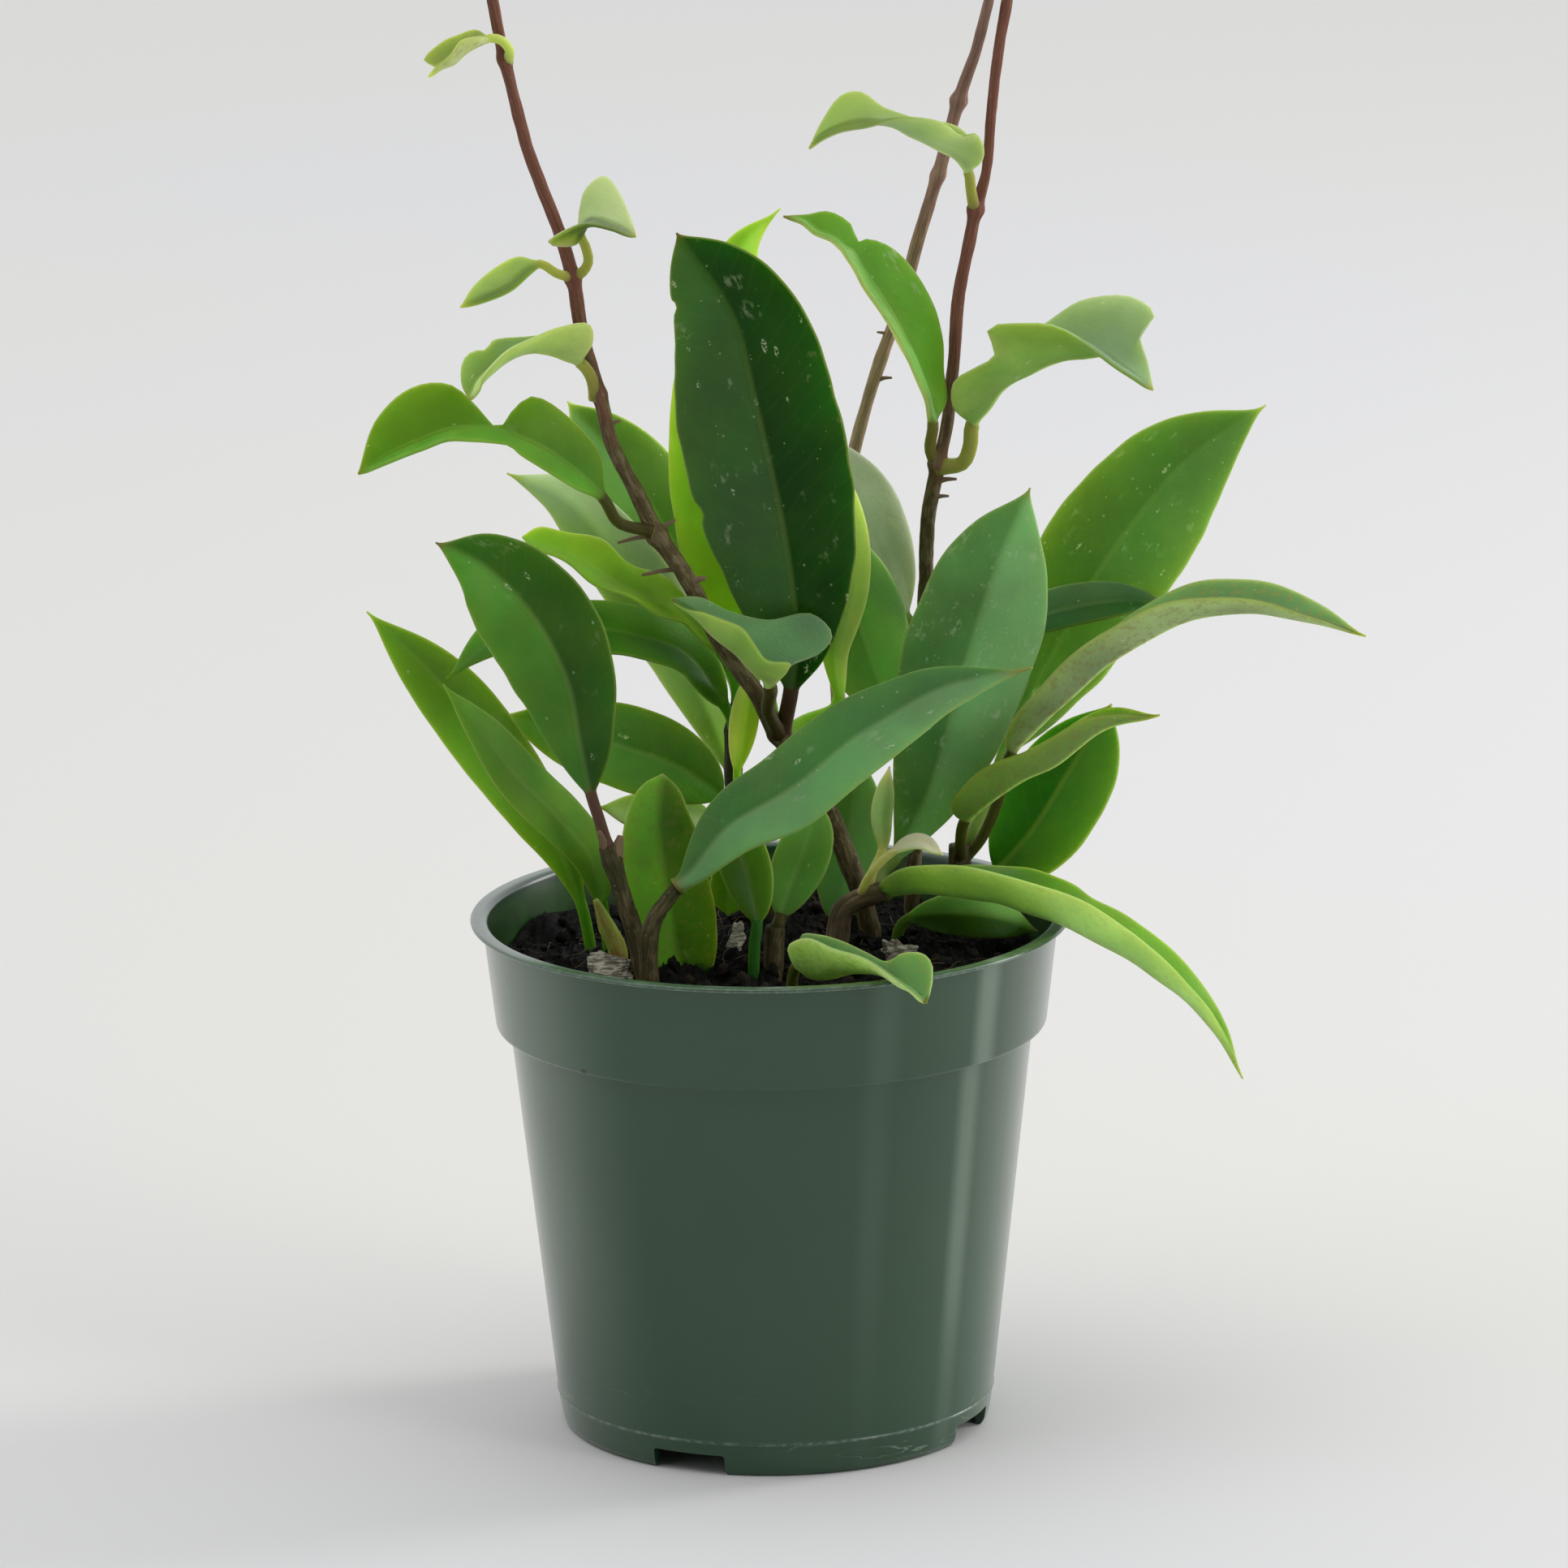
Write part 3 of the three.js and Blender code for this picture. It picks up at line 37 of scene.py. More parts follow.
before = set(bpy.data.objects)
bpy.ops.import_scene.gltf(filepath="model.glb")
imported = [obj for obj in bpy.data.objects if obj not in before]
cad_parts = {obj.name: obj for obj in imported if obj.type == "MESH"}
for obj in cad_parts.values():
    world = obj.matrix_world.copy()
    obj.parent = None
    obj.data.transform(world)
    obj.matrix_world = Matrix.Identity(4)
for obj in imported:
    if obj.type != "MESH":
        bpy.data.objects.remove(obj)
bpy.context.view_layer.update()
MM = 0.001

# Pot, in millimetres as in the solids
POT_HEIGHT = 99.2
LIP_RADIUS = 57
LIP_THICK = 0.8
COLLAR_TOP_RADIUS = 54.7
COLLAR_FOOT_RADIUS = 52.4
COLLAR_FOOT_Z = 78.4
BODY_TOP_RADIUS = 49.7
BODY_FOOT_RADIUS = 41.8
BODY_FOOT_Z = 6.4
FOOT_RADIUS = 40.4
WALL = 1.0
CENTRE_PAD_RADIUS = 24
CHANNEL_Z = 4.5
SLOT_WIDTH = 14.5
SLOT_HEIGHT = 4
SLOT_FIRST_ANGLE = -114
SLOT_CORNER = 0.6
DRAIN_RADIUS = 4
DRAIN_RING_RADIUS = 32.5
SOIL_Z = 89.5
SOIL_GAP = 0.5
# Painted reflections: paler upright streaks painted on the pot's plastic where its gloss would
# show bright light: direction of the middle about the Z axis from +X in radians, half width in
# radians, strength
SHEENS = ((-0.72, 0.085, 0.26), (-1.17, 0.09, 0.045), (-2.59, 0.5, 0.13))
# A nick under the collar: its direction in radians and its height over the collar's foot
NICK_ANGLE = -2.305
NICK_RISE = 0.6

# Leaves, in millimetres: half the margin's thickness, the tip's radius and the margin's rounding
MARGIN_HALF = 0.32
TIP_RADIUS = 0.5
ROUND_MARGIN = 0.45
# Power that rounds off a leaf's tip unless its row has another
TIP_POWER = 12
# Powers that shape a leaf's outline towards its foot and its tip unless its row has others
OUTLINE = (0.75, 0.8)
# Petiole's radius and blade's thickness unless the leaf's row has others
PETIOLE_RADIUS = 1.1
BLADE_THICK = 1.5
# How much a petiole swells at its foot, as a share of its radius, and over what length
FOOT_SWELL = 0.45
FOOT_LONG = 1.6
# Unevenness of the margins, as a share of the half width
MARGIN_WOBBLE = 0.018
# Half width of the groove along the midrib, and the ridge below as a share of the groove's depth
RIB_WIDE = 0.75
RIDGE = 1.3
# Fewest and most spans between the rings of points along a blade
FEWEST_SPANS = 34
MOST_SPANS = 110
# Places across half a blade, midrib to margin, closer at both
HALF_ACROSS = np.array([0, 0.03, 0.07, 0.13, 0.22, 0.34, 0.48, 0.61, 0.73, 0.83, 0.91, 0.96, 0.988, 1])
# How much of the light passes through the leaves of each colour
GLOW = {"old": 0.3, "mid": 0.6, "young": 0.9, "bronze": 0.7}
# Letters of the leaves that stand on the long vines inside the picture
VINE_LEAVES = "ab"

# Half the length over which a stem swells at a joint, in millimetres
JOINT_LONG = 1.3

# First seeds of the random draws
LEAF_SEED = 100
STEM_SEED = 300
ROOT_SEED = 40
CHIP_SEED = 900
SOIL_SEED = 41
CRUMB_SEED = 2000
FIBRE_SEED = 3000

# Studio, in metres: the floor's rings, the dark cloth behind the camera, and each light's place,
# target, width, height, setting that holds its power, and tone
FLOOR_RADII = (0.2, 0.8, 2, 4.5, 9)
CLOTH_HALF_WIDTH, CLOTH_FOOT, CLOTH_TOP, CLOTH_Y = 2.4, 0.25, 3.4, -2.3
LIGHTS = {
    "overhead": ((-0.5, -0.5, 2.3), (0, 0, 0.1), 2.6, 2.2, "key_power", (1, 0.995, 0.98)),
    "side_soft": ((1.3, -1.0, 0.7), (0, 0, 0.1), 0.5, 1.0, "fill_power", (1, 1, 1)),
    "strip": ((1.5, 0.55, 0.6), (0.04, 0, 0.05), 0.4, 1.6, "strip_power", (1, 1, 1)),
    "over_backdrop": ((0, 2.6, 2.2), (0, 2.4, 0), 3.2, 1.6, "back_power", (1, 1, 1)),
}

# Leaf tones, by name
TONES = {
    "dark": "#2C5A22", "leaf": "#417422", "fresh": "#588A28", "lime": "#7DA833", "pale": "#93B45F",
    "sage": "#7C985C", "grey": "#5E7F58", "silver": "#8FA888", "olive": "#6E8242", "gold": "#A9B864",
    "straw": "#8F8A48", "khaki": "#6E6532", "twig": "#453D1E", "brown": "#4B3527", "plum": "#5C4038",
    "cream": "#C9CFA0", "night": "#1A4308", "moss": "#447A14", "dusky": "#43654A", "milky": "#A9BA8C",
    "fern": "#4A7A42", "butter": "#E0D88A", "ash": "#A9B3A6",
}
# Tones of marks, which no setting changes; glare is a painted sheen on the lighter halves of leaves,
# and inside is painted light, a lighter, greener tone on the pot's inner wall
MARKS = {
    "glare": "#D4DCD0", "vein": "#C4D08A", "silver": "#C2CAB2", "blush": "#7A6848",
    "rim": "#84984E", "brown rim": "#6E5232", "tip": "#5A4A2C", "scale": "#8A7F5E",
    "pore": "#A08C72", "root": "#857056", "crumb": "#33261A", "fibre": "#7A6A50",
    "nick": "#181C16", "inside": "#40682A", "dark_inner_blotches": "#2A2A1E",
}


def numbers(text):
    """Rows of numbers written as "1 2 3, 4 5 6"."""
    return [[float(word) for word in part.split()] for part in text.split(",")]


def stem(name, slot, young, old, old_below, **rows):
    """A stem: its node, slot, young and old bark, and the height in metres below which it is old.
    path: x, y, z and radius along it. joints: number of the path's point and swelling. roots: both
    ends, and radii there, of each aerial root or cut twig."""
    return {"name": name, "slot": slot, "bark": (young, old, old_below), "joints": [], "roots": [],
            **{key: numbers(text) for key, text in rows.items()}}


def leaf(name, colour, base, tones, **form):
    """A leaf: its node without leaf_, its colour, the number of the path's point where the blade
    starts, and the tones of its upper side, underside and petiole. halves: brightness to the left
    and right of the midrib, painted light and shade on each half. flecks, blush: shares of pale
    flecks and of brown. wide, ab, sharp: width, powers of the outline and of the tip. fold: rise of
    the halves beside the midrib. wave: height, count and phase of the margin's waves. petiole,
    thick: radius and thickness. path: middle from foot to tip. left, right: margins of a leaf that
    twists. face: way the upper side looks at the foot, middle and tip. bites: side, place, depth and
    length of each."""
    form = {key: numbers(value) if isinstance(value, str) else value for key, value in form.items()}
    return {"name": "leaf_" + name, "colour": colour, "base": base, "tones": tones.split(),
            "halves": (1, 1), "flecks": 0, "blush": 0, **form}


STEMS = [
    stem("vine_left", "vine", "young", "old", 0.205,
         path="""19 23 80 2.3, 19 23 90.5 2.3, 16 22 101 2.2, 11.5 21 113 2.2, 6 19 123.5 2.2,
         2 17 130 2.3, -1.5 14 137.5 1.9, -9 10 150 1.9, -14.5 7 162 1.9, -20.5 6 171.5 1.9,
         -24 5 179.5 1.7, -28.5 4 189 1.6, -31 4 199 1.6, -34 3 211 1.5, -35.5 3 221.5 1.5,
         -38 3 230.5 1.4, -43 2 244.5 1.3, -47.5 1 263.5 1.3, -49.5 0 274.5 1.3, -51 0 288.5 1.2,
         -52 0 303.5 1, -52 0 320 0.6""",
         joints="5 0.3, 9 0.35, 12 0.3, 14 0.35, 17 0.3, 19 0.3",
         roots="""-20.5 6 172 -17 5 174.5 0.55 0.3, -20.5 6 171.5 -28 6 170 0.55 0.35,
         -16 7.5 164.5 -23.5 7 163.5 0.55 0.35, -14.5 7 162 -11.5 6 163 0.9 0.6,
         -29.5 4 193 -27 3.5 194 0.5 0.3"""),
    stem("vine_right", "vine", "young", "old", 0.187,
         path="""27 35 80 1.7, 27.5 34 94 1.7, 28.5 35 110 1.7, 29.5 35 134 1.6, 30.5 31 155.5 1.6,
         31 28 169 1.6, 33 25 180.5 1.6, 34.5 25 187 1.35, 36 25 199.5 1.35, 37 25 212 1.35,
         39 25 222.5 1.35, 40.5 25 229.5 1.4, 42.5 25 237 1.1, 43.5 25 248 1.1, 45 26 260 1.2,
         47 28 272 1.2, 47 32 284 1.1, 45 30 298 1, 45.5 26 312.5 0.9, 47 24 326 0.5""",
         joints="6 0.5, 11 0.4, 17 0.3",
         roots="32.5 25.5 177 36.5 25 177.5 0.55 0.35, 32 26.5 173.5 35 26 174 0.55 0.35"),
    stem("vine_back", "vine", "rose", "tan", 0.225,
         path="""12 43 80 1.7, 14.5 43 92 1.7, 14 43 116 1.7, 13.5 42 140.5 1.6, 14.5 40 165 1.5,
         17.5 38 182 1.4, 22 37 197.5 1.4, 26.5 36 210 1.4, 29.5 35 221.5 1.4, 33.5 34 234.5 1.4,
         37.5 33 249 1.4, 41 31 259.5 1.2, 43.5 25 271 1.1, 46 24 282 1.1, 48.5 30 293.5 1,
         47.5 33 306.5 0.9, 46.5 34 319 0.5""",
         joints="9 0.2, 10 0.4, 14 0.3",
         roots="24.5 36.5 203 21.7 36 204 0.5 0.3, 21.5 37 194.5 24.5 36.5 195 0.5 0.3"),
    stem("stem_left", "stem", "stem", "old", 0.1,
         path="""-23 -12 80 1.9, -24.5 -12 94 1.9, -27.5 -11 104.5 1.7, -29.5 -10 112 1.8,
         -30.5 -10 115 1.8""",
         joints="3 0.25",
         roots="-30.5 -10 113.5 -32 -12.3 118.5 0.9 0.6, -29 -10 113 -28 -10 117 1.1 0.9"),
    stem("stem_front_left", "stem", "stem", "old", 0.1,
         path="-22 -17 80 1.9, -23 -17 95 1.8, -22 -17 102 1.6, -17.5 -16 108.5 1.3"),
    stem("sprout_left", "leaf_young", "green", "rust", 0.094,
         path="-29 -5 80 1.6, -29 -5 93.5 1.8, -31 -5 98 1.7, -33 -5.5 103.5 0.6"),
    stem("stem_centre", "stem", "stem", "old", 0.1,
         path="0 -6 80 2, 0.5 -6 93.5 2, 1 -6 98 1.8"),
    stem("stem_arch", "stem", "stem", "tan", 0.1,
         path="12 14 80 2.3, 13 13 91.5 2.2, 14 12 96.5 2.2, 19.5 12 99.5 2, 22 12 100 1.9",
         joints="3 0.15"),
    stem("stem_right", "stem", "stem", "old", 0.1,
         path="36 24 80 2.2, 36.5 23 96.5 2.2, 36.5 22 103.5 2.3, 36.5 22 106.5 2.1"),
    stem("stem_back_left", "stem", "stem", "old", 0.1,
         path="""0 29 80 1.9, 0 29 92.5 1.8, -3.5 28 104 1.7, -6.5 27 114.5 1.8, -6.5 26 128.5 1.8,
         -5.5 25 135 1.4""",
         joints="2 0.2, 3 0.25, 4 0.3"),
]

LEAVES = [
    leaf("a1", "mid", 2, "fresh fresh twig", halves=(1.2, 0.75), flecks=0.1, thick=1.3,
         face="0.3 -0.7 0.6",
         path="""-21.5 5 172.5, -27.5 3 174.5, -30.5 0 180, -34.5 -1.5 184, -40.5 -3 189.5, -45 -4 192,
         -47.5 -4 193, -50 -4 194, -53.5 -4.5 194.5, -58.5 -5 194, -63.5 -6 192.5, -70 -7 190,
         -76 -9 187""",
         left="""-35 -4 182.5, -43 -6 188, -46 -6 190, -47.5 -6 191.5, -51 -6 192, -55 -8 193,
         -59.5 -9 193.5, -64 -10 192, -70 -10.5 190""",
         right="""-31 2 188, -37 1.5 195.5, -43.5 0 199.5, -47 -1.5 197.5, -50 -3.5 194, -53 -3 197.5,
         -58.5 -2.5 202.5, -65.5 -4 202.5, -72.5 -6 197"""),
    leaf("a2", "young", 2, "sage olive straw", halves=(2.15, 0.8), flecks=0.1, blush=0.1, thick=1.3,
         bites="1 0.75 1.2 0.9", face="0.2 0.3 0.9",
         path="""-31.5 4 198.5, -32.5 2 203, -34.5 0 206, -37 -0.5 207, -39.5 -1 208, -43 -2 208.5,
         -46 -2.5 208, -48.5 -3.5 207, -51 -4.5 205, -53 -5.5 203, -54 -6 201.5, -55 -7 200.5""",
         left="""-32 0 209.5, -32.5 -1 213.5, -38 -3 213.5, -43 -6 212, -47 -8 210.5, -49.5 -9 208.5,
         -52 -9 205.5, -53 -8 203""",
         right="""-35 5 208.5, -36.5 5 210, -39.5 4 210.5, -44 3 210.5, -49.5 2 210.5, -51.5 0 210,
         -56 -3 207.5, -56.5 -5.5 203.5"""),
    leaf("a3_left", "young", 2, "olive pale straw", halves=(0.75, 1.45), blush=0.1, petiole=0.85,
         thick=1.3, face="-0.2 -0.5 0.8",
         path="""-35.5 3 221.5, -38.5 0 223, -41.5 -1 225, -44 -1.5 224, -47 -2.5 221.5, -51.5 -3 219.5,
         -56.5 -4 217.5""",
         left="-43.5 -3 223.5, -47 -4.5 221, -51.5 -5 219",
         right="-45.5 1 226, -50 1 224, -54 -1 221"),
    leaf("a3_right", "mid", 4, "milky olive straw", halves=(1.05, 0.4), petiole=0.9, thick=1.3,
         face="-0.6 -0.3 0.65",
         path="""-35.5 3 221.5, -33.5 2 223, -32.5 1 225, -33 0 228, -34 -0.5 230.5, -33 -1 232.5,
         -31.5 -2 233.5, -29.5 -3.5 233.5, -27.5 -5 233, -25 -6 232, -23.5 -7 231""",
         left="-34 2 235, -33 2.5 238.5, -29.5 1.5 241, -26.5 -1 238, -24.5 -4.5 234",
         right="-35.5 -3.5 229, -40 -7 230, -33.5 -6 233.5, -28 -7 233, -25.5 -8 232"),
    leaf("a4", "young", 3, "gold cream gold", halves=(0.75, 0.55), blush=0.35, petiole=0.85, thick=1.3,
         face="0 -0.2 1",
         path="""-47 1 263, -46.5 -1.5 265.5, -48 -2.5 267.5, -50 -3 268, -52.5 -3.5 267, -55 -4 265.5,
         -57 -5 264, -58.5 -5.5 263.5, -59.5 -6 263, -61.5 -7 261.5""",
         left="-52 -6 269, -55.5 -7 268.5, -57.5 -8 266, -58.5 -8 265, -59.5 -8 264",
         right="-52.5 0 269, -56 0 268, -59 -1 267, -62.5 -3 264, -60 -5.5 263"),
    leaf("b1_left", "old", 2, "fresh gold khaki", halves=(1.7, 1.05), flecks=0.5, thick=1.3,
         face="0.6 -0.65 0.4",
         path="""33 25 180, 31.5 24 183.5, 32 22 189, 30.5 21.5 195, 28.5 21 200.5, 25.5 20 207,
         23 19 212, 20 18.5 216.5, 18 18 220, 16.5 17.5 223, 15 17 224, 13.5 16.5 225.5, 10.5 16 227,
         7.5 15.5 229.5, 4 15 230.5""",
         left="""30.5 15 196, 28 14 201.5, 25.5 13 208, 22.5 12.5 213, 19.5 12 218, 18 12 221,
         16 12.5 223.5, 15 13 225, 13 13.5 226.5, 10 14 227.5, 8 14 229.5""",
         right="""34.5 24 192.5, 34 24 198, 34 24 205.5, 32.5 23.5 211.5, 29 23 218, 24.5 22 223,
         20 20 225, 18 19 224.5, 17 18.5 228, 12.5 17.5 231, 8 16.5 230.5"""),
    leaf("b1_right", "mid", 3, "silver pale straw", halves=(0.85, 0.68), flecks=0.1, petiole=1.4,
         thick=1.3, face="-0.5 -0.3 0.7",
         path="""33 25 180, 37.5 23 181, 39 22 184.5, 39.5 21 189, 42.5 20.5 192.5, 45 20 195.5,
         47.5 19.5 197.5, 50.5 19 199, 53.5 18.5 200.5, 57.5 18 201.5, 61 17.5 202, 64 17 202.5,
         66.5 16 201, 69.5 15 199.5, 71.5 14.5 198, 73.5 14 196.5""",
         left="""43 24 196.5, 45.5 25 201, 48.5 25 205, 52.5 25 207, 56 25 209.5, 60 24.5 212,
         65.5 24 213, 70.5 22.5 212.5, 74 21 209.5, 71 18 206.5, 72.5 16 201.5""",
         right="""35.5 16 193.5, 36 14 198.5, 40 13 201.5, 43.5 12.5 204, 42.5 13 209, 49 12 210,
         55 12 209.5, 59.5 12.5 207, 63.5 13 204, 67.5 13 201, 70.5 13.5 199"""),
    leaf("b2", "mid", 3, "olive milky straw", halves=(0.85, 1.45), flecks=0.1, petiole=1, thick=1.3,
         face="0.5 0.2 0.8",
         path="""40.5 25 229.5, 40 24 231, 39.5 22.5 234, 39 21.5 237.5, 37.5 21 239, 36 20.5 240.5,
         33.5 20 242, 31 19.5 243.5, 28 19 245, 25 18 247, 21 17 248, 17 16 248, 14 15 247,
         11 14.5 245.5, 9 14 243.5""",
         left="""41.5 20 239.5, 42 17 243, 40.5 15 246, 38 14.5 245.5, 34 14 248, 29 13.5 249,
         24.5 13.5 249, 20 13 248, 15.5 13 247, 12 13 245.5""",
         right="""40 25 241.5, 39 25 244, 37 25 245.5, 34.5 24.5 246.5, 31 24 247, 27.5 23 248,
         23.5 22 250, 19 20 253.5, 15 18 253, 11.5 16 248.5"""),
    leaf("l1", "old", 2, "night leaf brown", halves=(1.35, 0.6), flecks=0.35, wide=31, fold=0.12,
         ab=(0.75, 0.65), petiole=1.5, sharp=40, bites="-1 0.88 1.1 1.2, -1 0.42 0.8 1.4",
         face="0.1 -0.9 0.4, -0.1 -0.95 0.2, -0.2 -0.93 0.2",
         path="""2.5 17 129.5, 3.5 15.5 134, 4.5 14 139.5, 5.5 11 151, 3.5 7 171, -1.5 4 196.5,
         -5.5 3 213.5, -16 2 230"""),
    leaf("l2", "young", 2, "lime lime fresh", halves=(0.95, 1.55), wide=23, fold=0.15, ab=(0.6, 0.8),
         face="-0.4 -0.85 0.3",
         path="""1.5 20 130, 0.5 21 136, 0 21 141, -6 19 163.5, -7.5 17 184.5, -6 15 210, -3.5 16 224.5,
         3.5 18 231.5"""),
    leaf("l4", "young", 3, "lime lime lime", halves=(0.95, 2.4), wide=8, fold=0.15,
         face="0.4 -0.85 0.2",
         path="""2.5 17.5 129.5, 7 21.5 131.5, 12.5 22 133.5, 13.5 22 135.5, 13 23 145, 16 24 158,
         15 25 173, 10.5 25 185.5"""),
    leaf("l5", "old", 2, "ash ash olive", flecks=0.9, wide=16, fold=0.1, face="0.1 -0.93 0.35",
         path="30.5 34 142.5, 28.5 33 146.5, 26.5 32 149.5, 20.5 33 164, 14 33 176, 6.5 33 186.5"),
    leaf("l6", "old", 2, "leaf sage olive", halves=(1.55, 2.4), flecks=0.1, wide=18, fold=0.1,
         face="0.1 -0.93 0.35",
         path="27.5 33 121, 25.5 31 125.5, 24.5 29 128.5, 20 28 142, 14.5 28 158, 8 28 171.5"),
    leaf("r1", "old", 2, "fern leaf olive", halves=(1.05, 1.75), flecks=0.7, wide=25, fold=0.12,
         ab=(0.9, 0.6), face="0.2 -0.9 0.4, 0.1 -0.95 0.3, 0.1 -0.95 0.3",
         path="""20.5 12.5 99.5, 21.5 16.5 102.5, 24 17 105, 31 14 120.5, 37.5 11 144, 43.5 9 163.5,
         50 9 179"""),
    leaf("r2", "mid", 2, "dark fresh olive", halves=(1.3, 1.5), flecks=0.4, wide=26.5, fold=0.1,
         ab=(0.8, 0.75), face="-0.1 -0.9 0.4, -0.1 -0.95 0.3, -0.1 -0.93 0.35",
         path="""37.5 24 105.5, 42 29 113.5, 45 30.5 122, 54.5 32 140.5, 63 31 156.5, 72 30 169.5,
         81 29 180, 95.5 28 190.5"""),
    leaf("r3", "bronze", 3, "dusky milky twig", halves=(1.25, 0.6), flecks=0.1, blush=0.5, wide=15.5,
         fold=0.75, ab=(0.55, 0.7), face="-0.5 0.35 0.8, -0.2 0.1 1, 0.3 -0.35 0.85",
         path="""36.5 22 103, 40.5 22 107.5, 44 20.5 116, 46.5 17 126, 54.5 14 135, 66.5 13 145.5,
         78.5 12 152.5, 91.5 11 154.5, 104 10 152.5, 113.5 9 149.5"""),
    leaf("r4", "mid", 2, "dark olive olive", halves=(1.45, 0.9), flecks=0.1, wide=9.5, fold=0.4,
         ab=(0.7, 0.6), face="-0.2 -0.6 0.75, -0.1 -0.7 0.7, 0.1 -0.7 0.7",
         path="""30.5 34 126, 33.5 28 136, 39.5 25 143, 47.5 24 148.5, 56.5 24.5 151.5, 66 25 153,
         76.5 25.5 153"""),
    leaf("r5", "bronze", 2, "leaf pale twig", halves=(1, 0.45), flecks=0.1, blush=0.5, wide=13,
         fold=0.8, ab=(0.45, 0.8), face="-0.5 0.3 0.8, -0.3 0.2 0.95, 0 -0.05 0.95",
         path="""36.5 22 103.5, 36.5 17 107.5, 37.5 12 114, 45 6 121.5, 54.5 3 127.5, 63.5 1 134.5,
         74 -1 137"""),
    leaf("r6", "mid", 2, "dark fresh plum", halves=(0.45, 1.15), wide=21, fold=0.1, ab=(0.5, 0.6),
         face="-0.45 -0.85 0.35",
         path="36.5 24 96.5, 39 24 98, 43.5 22.5 101, 50.5 23 108.5, 58 26 119.5, 66 30 132"),
    leaf("r7", "bronze", 0, "fresh sage olive", halves=(1, 1.7), blush=0.15, wide=17.5, fold=0.8,
         ab=(0.6, 0.95), petiole=1.6, face="-0.1 0.35 0.95, 0.1 0.2 0.95, 0.6 -0.25 0.7",
         path="""22 12 100, 25 9.5 101, 38.5 -3 103, 53.5 -16 101.5, 68.5 -20 94.5, 77 -22 88,
         84 -23 80.5, 88.5 -24 72"""),
    leaf("r8", "mid", 1, "dark sage twig", halves=(1.65, 1.8), flecks=0.1, blush=0.3, thick=1.3,
         face="0.2 -0.2 1",
         path="""3 -25 82, 5 -33 97.5, 7.5 -36 96, 11.5 -39 96.5, 15 -43 98.5, 18.5 -47 99.5,
         21.5 -51 100, 24 -55 99.5, 26.5 -58 99, 27.5 -59.5 98, 28.5 -61 97.5""",
         left="""5.5 -32 103, 8.5 -34 103.5, 13 -38 103.5, 17.5 -43 102.5, 21 -48 102, 24 -51 104.5,
         28 -54 105, 29.5 -57 103.5""",
         right="""3.5 -40 103.5, 6.5 -43 105.5, 11.5 -47 104.5, 16 -51 104, 20 -54 102.5, 23 -58 101.5,
         25.5 -60 100, 27 -61 99"""),
    leaf("m1", "mid", 0, "dark fresh khaki", halves=(1.35, 2.1), flecks=0.3, wide=17.8, fold=0.2,
         ab=(0.8, 1), petiole=1.3, face="-0.4 -0.75 0.55, -0.4 -0.75 0.55, -0.2 -0.6 0.75",
         path="""-17.5 -16 108.5, -15 -16 110.5, -7.5 -16 119.5, 3.5 -15 126, 17.5 -12 136, 31 -8 143,
         50 -3 147"""),
    leaf("m2", "mid", 2, "dark pale twig", halves=(1.1, 1.9), flecks=0.1, petiole=1.3, thick=1.3,
         face="0.7 -0.5 0.5",
         path="""2 16 130.5, 0 8 137, 0.5 3 142.5, -0.5 2 144, -2.5 1 146, -5 0 149, -7.5 -1 151.5,
         -10.5 -2 154.5, -13.5 -3.5 158, -15.5 -4.5 160, -18 -5 161.5""",
         left="""4.5 -1 148, 0 -4 149.5, -2.5 -5 153, -4.5 -5.5 156, -8.5 -6 158, -12.5 -6 159.5,
         -15 -6 160""",
         right="4.5 3 146.5, 10 6 148, 12.5 8 151, 8.5 7 155.5, 0.5 4 155, -7 1 157.5, -12.5 -2 161"),
    leaf("n1", "old", 2, "leaf leaf plum", halves=(1.15, 0.45), flecks=0.15, wide=21, fold=0.15,
         ab=(0.75, 0.6), face="-0.3 -0.9 0.3, -0.2 -0.9 0.4, -0.1 -0.8 0.6",
         path="""-30.5 -10 114.5, -32 -11 120.5, -33.5 -12 126, -35 -13 135, -37.5 -14 148,
         -43.5 -15 160.5, -52 -16 170, -61.5 -17 175.5"""),
    leaf("n2", "mid", 2, "fresh fresh fresh", halves=(0.85, 0.65), flecks=0.1, blush=0.1, wide=14,
         fold=0.25, ab=(0.9, 0.75), face="-0.4 -0.8 0.4",
         path="""-33.5 9 82, -34.5 9 91, -36 8.5 99, -40.5 7 111.5, -51.5 6 129.5, -62.5 6 144,
         -75.5 5 157.5"""),
    leaf("n3", "old", 2, "fresh fresh fresh", halves=(0.95, 1.35), blush=0.1, wide=9.5, fold=0.25,
         ab=(0.6, 0.7), face="-0.1 -0.85 0.5",
         path="""-30 4 82, -31 3 93, -32 1 101.5, -34 -2 111.5, -40 -4 119.5, -47.5 -6 128, -53 -7 136,
         -61 -7 146"""),
    leaf("n4", "old", 2, "moss fresh moss", halves=(0.9, 1.2), wide=14, fold=0.3, ab=(0.6, 0.7),
         face="0 -0.7 0.7, 0 -0.6 0.8, -0.5 -0.7 0.4",
         path="""-6.5 26 128, -7 24 131.5, -8.5 23 134.5, -15 21 144, -25.5 16 149.5, -37.5 10 152,
         -50 4 152.5, -60.5 -2 146"""),
    leaf("n5", "mid", 2, "leaf fresh olive", halves=(1.15, 0.7), flecks=0.1, wide=16.5, fold=0.15,
         ab=(0.6, 0.8), face="-0.1 -0.9 0.4",
         path="""-6.5 27 113.5, -8.5 23 115, -9.5 21 117, -17 17 123.5, -26 13 128, -38 9 132.5,
         -51 6 137"""),
    leaf("n6", "mid", 2, "silver fresh olive", halves=(0.8, 1.5), flecks=0.3, wide=14, fold=0.2,
         ab=(0.7, 0.6), face="-0.2 -0.8 0.5",
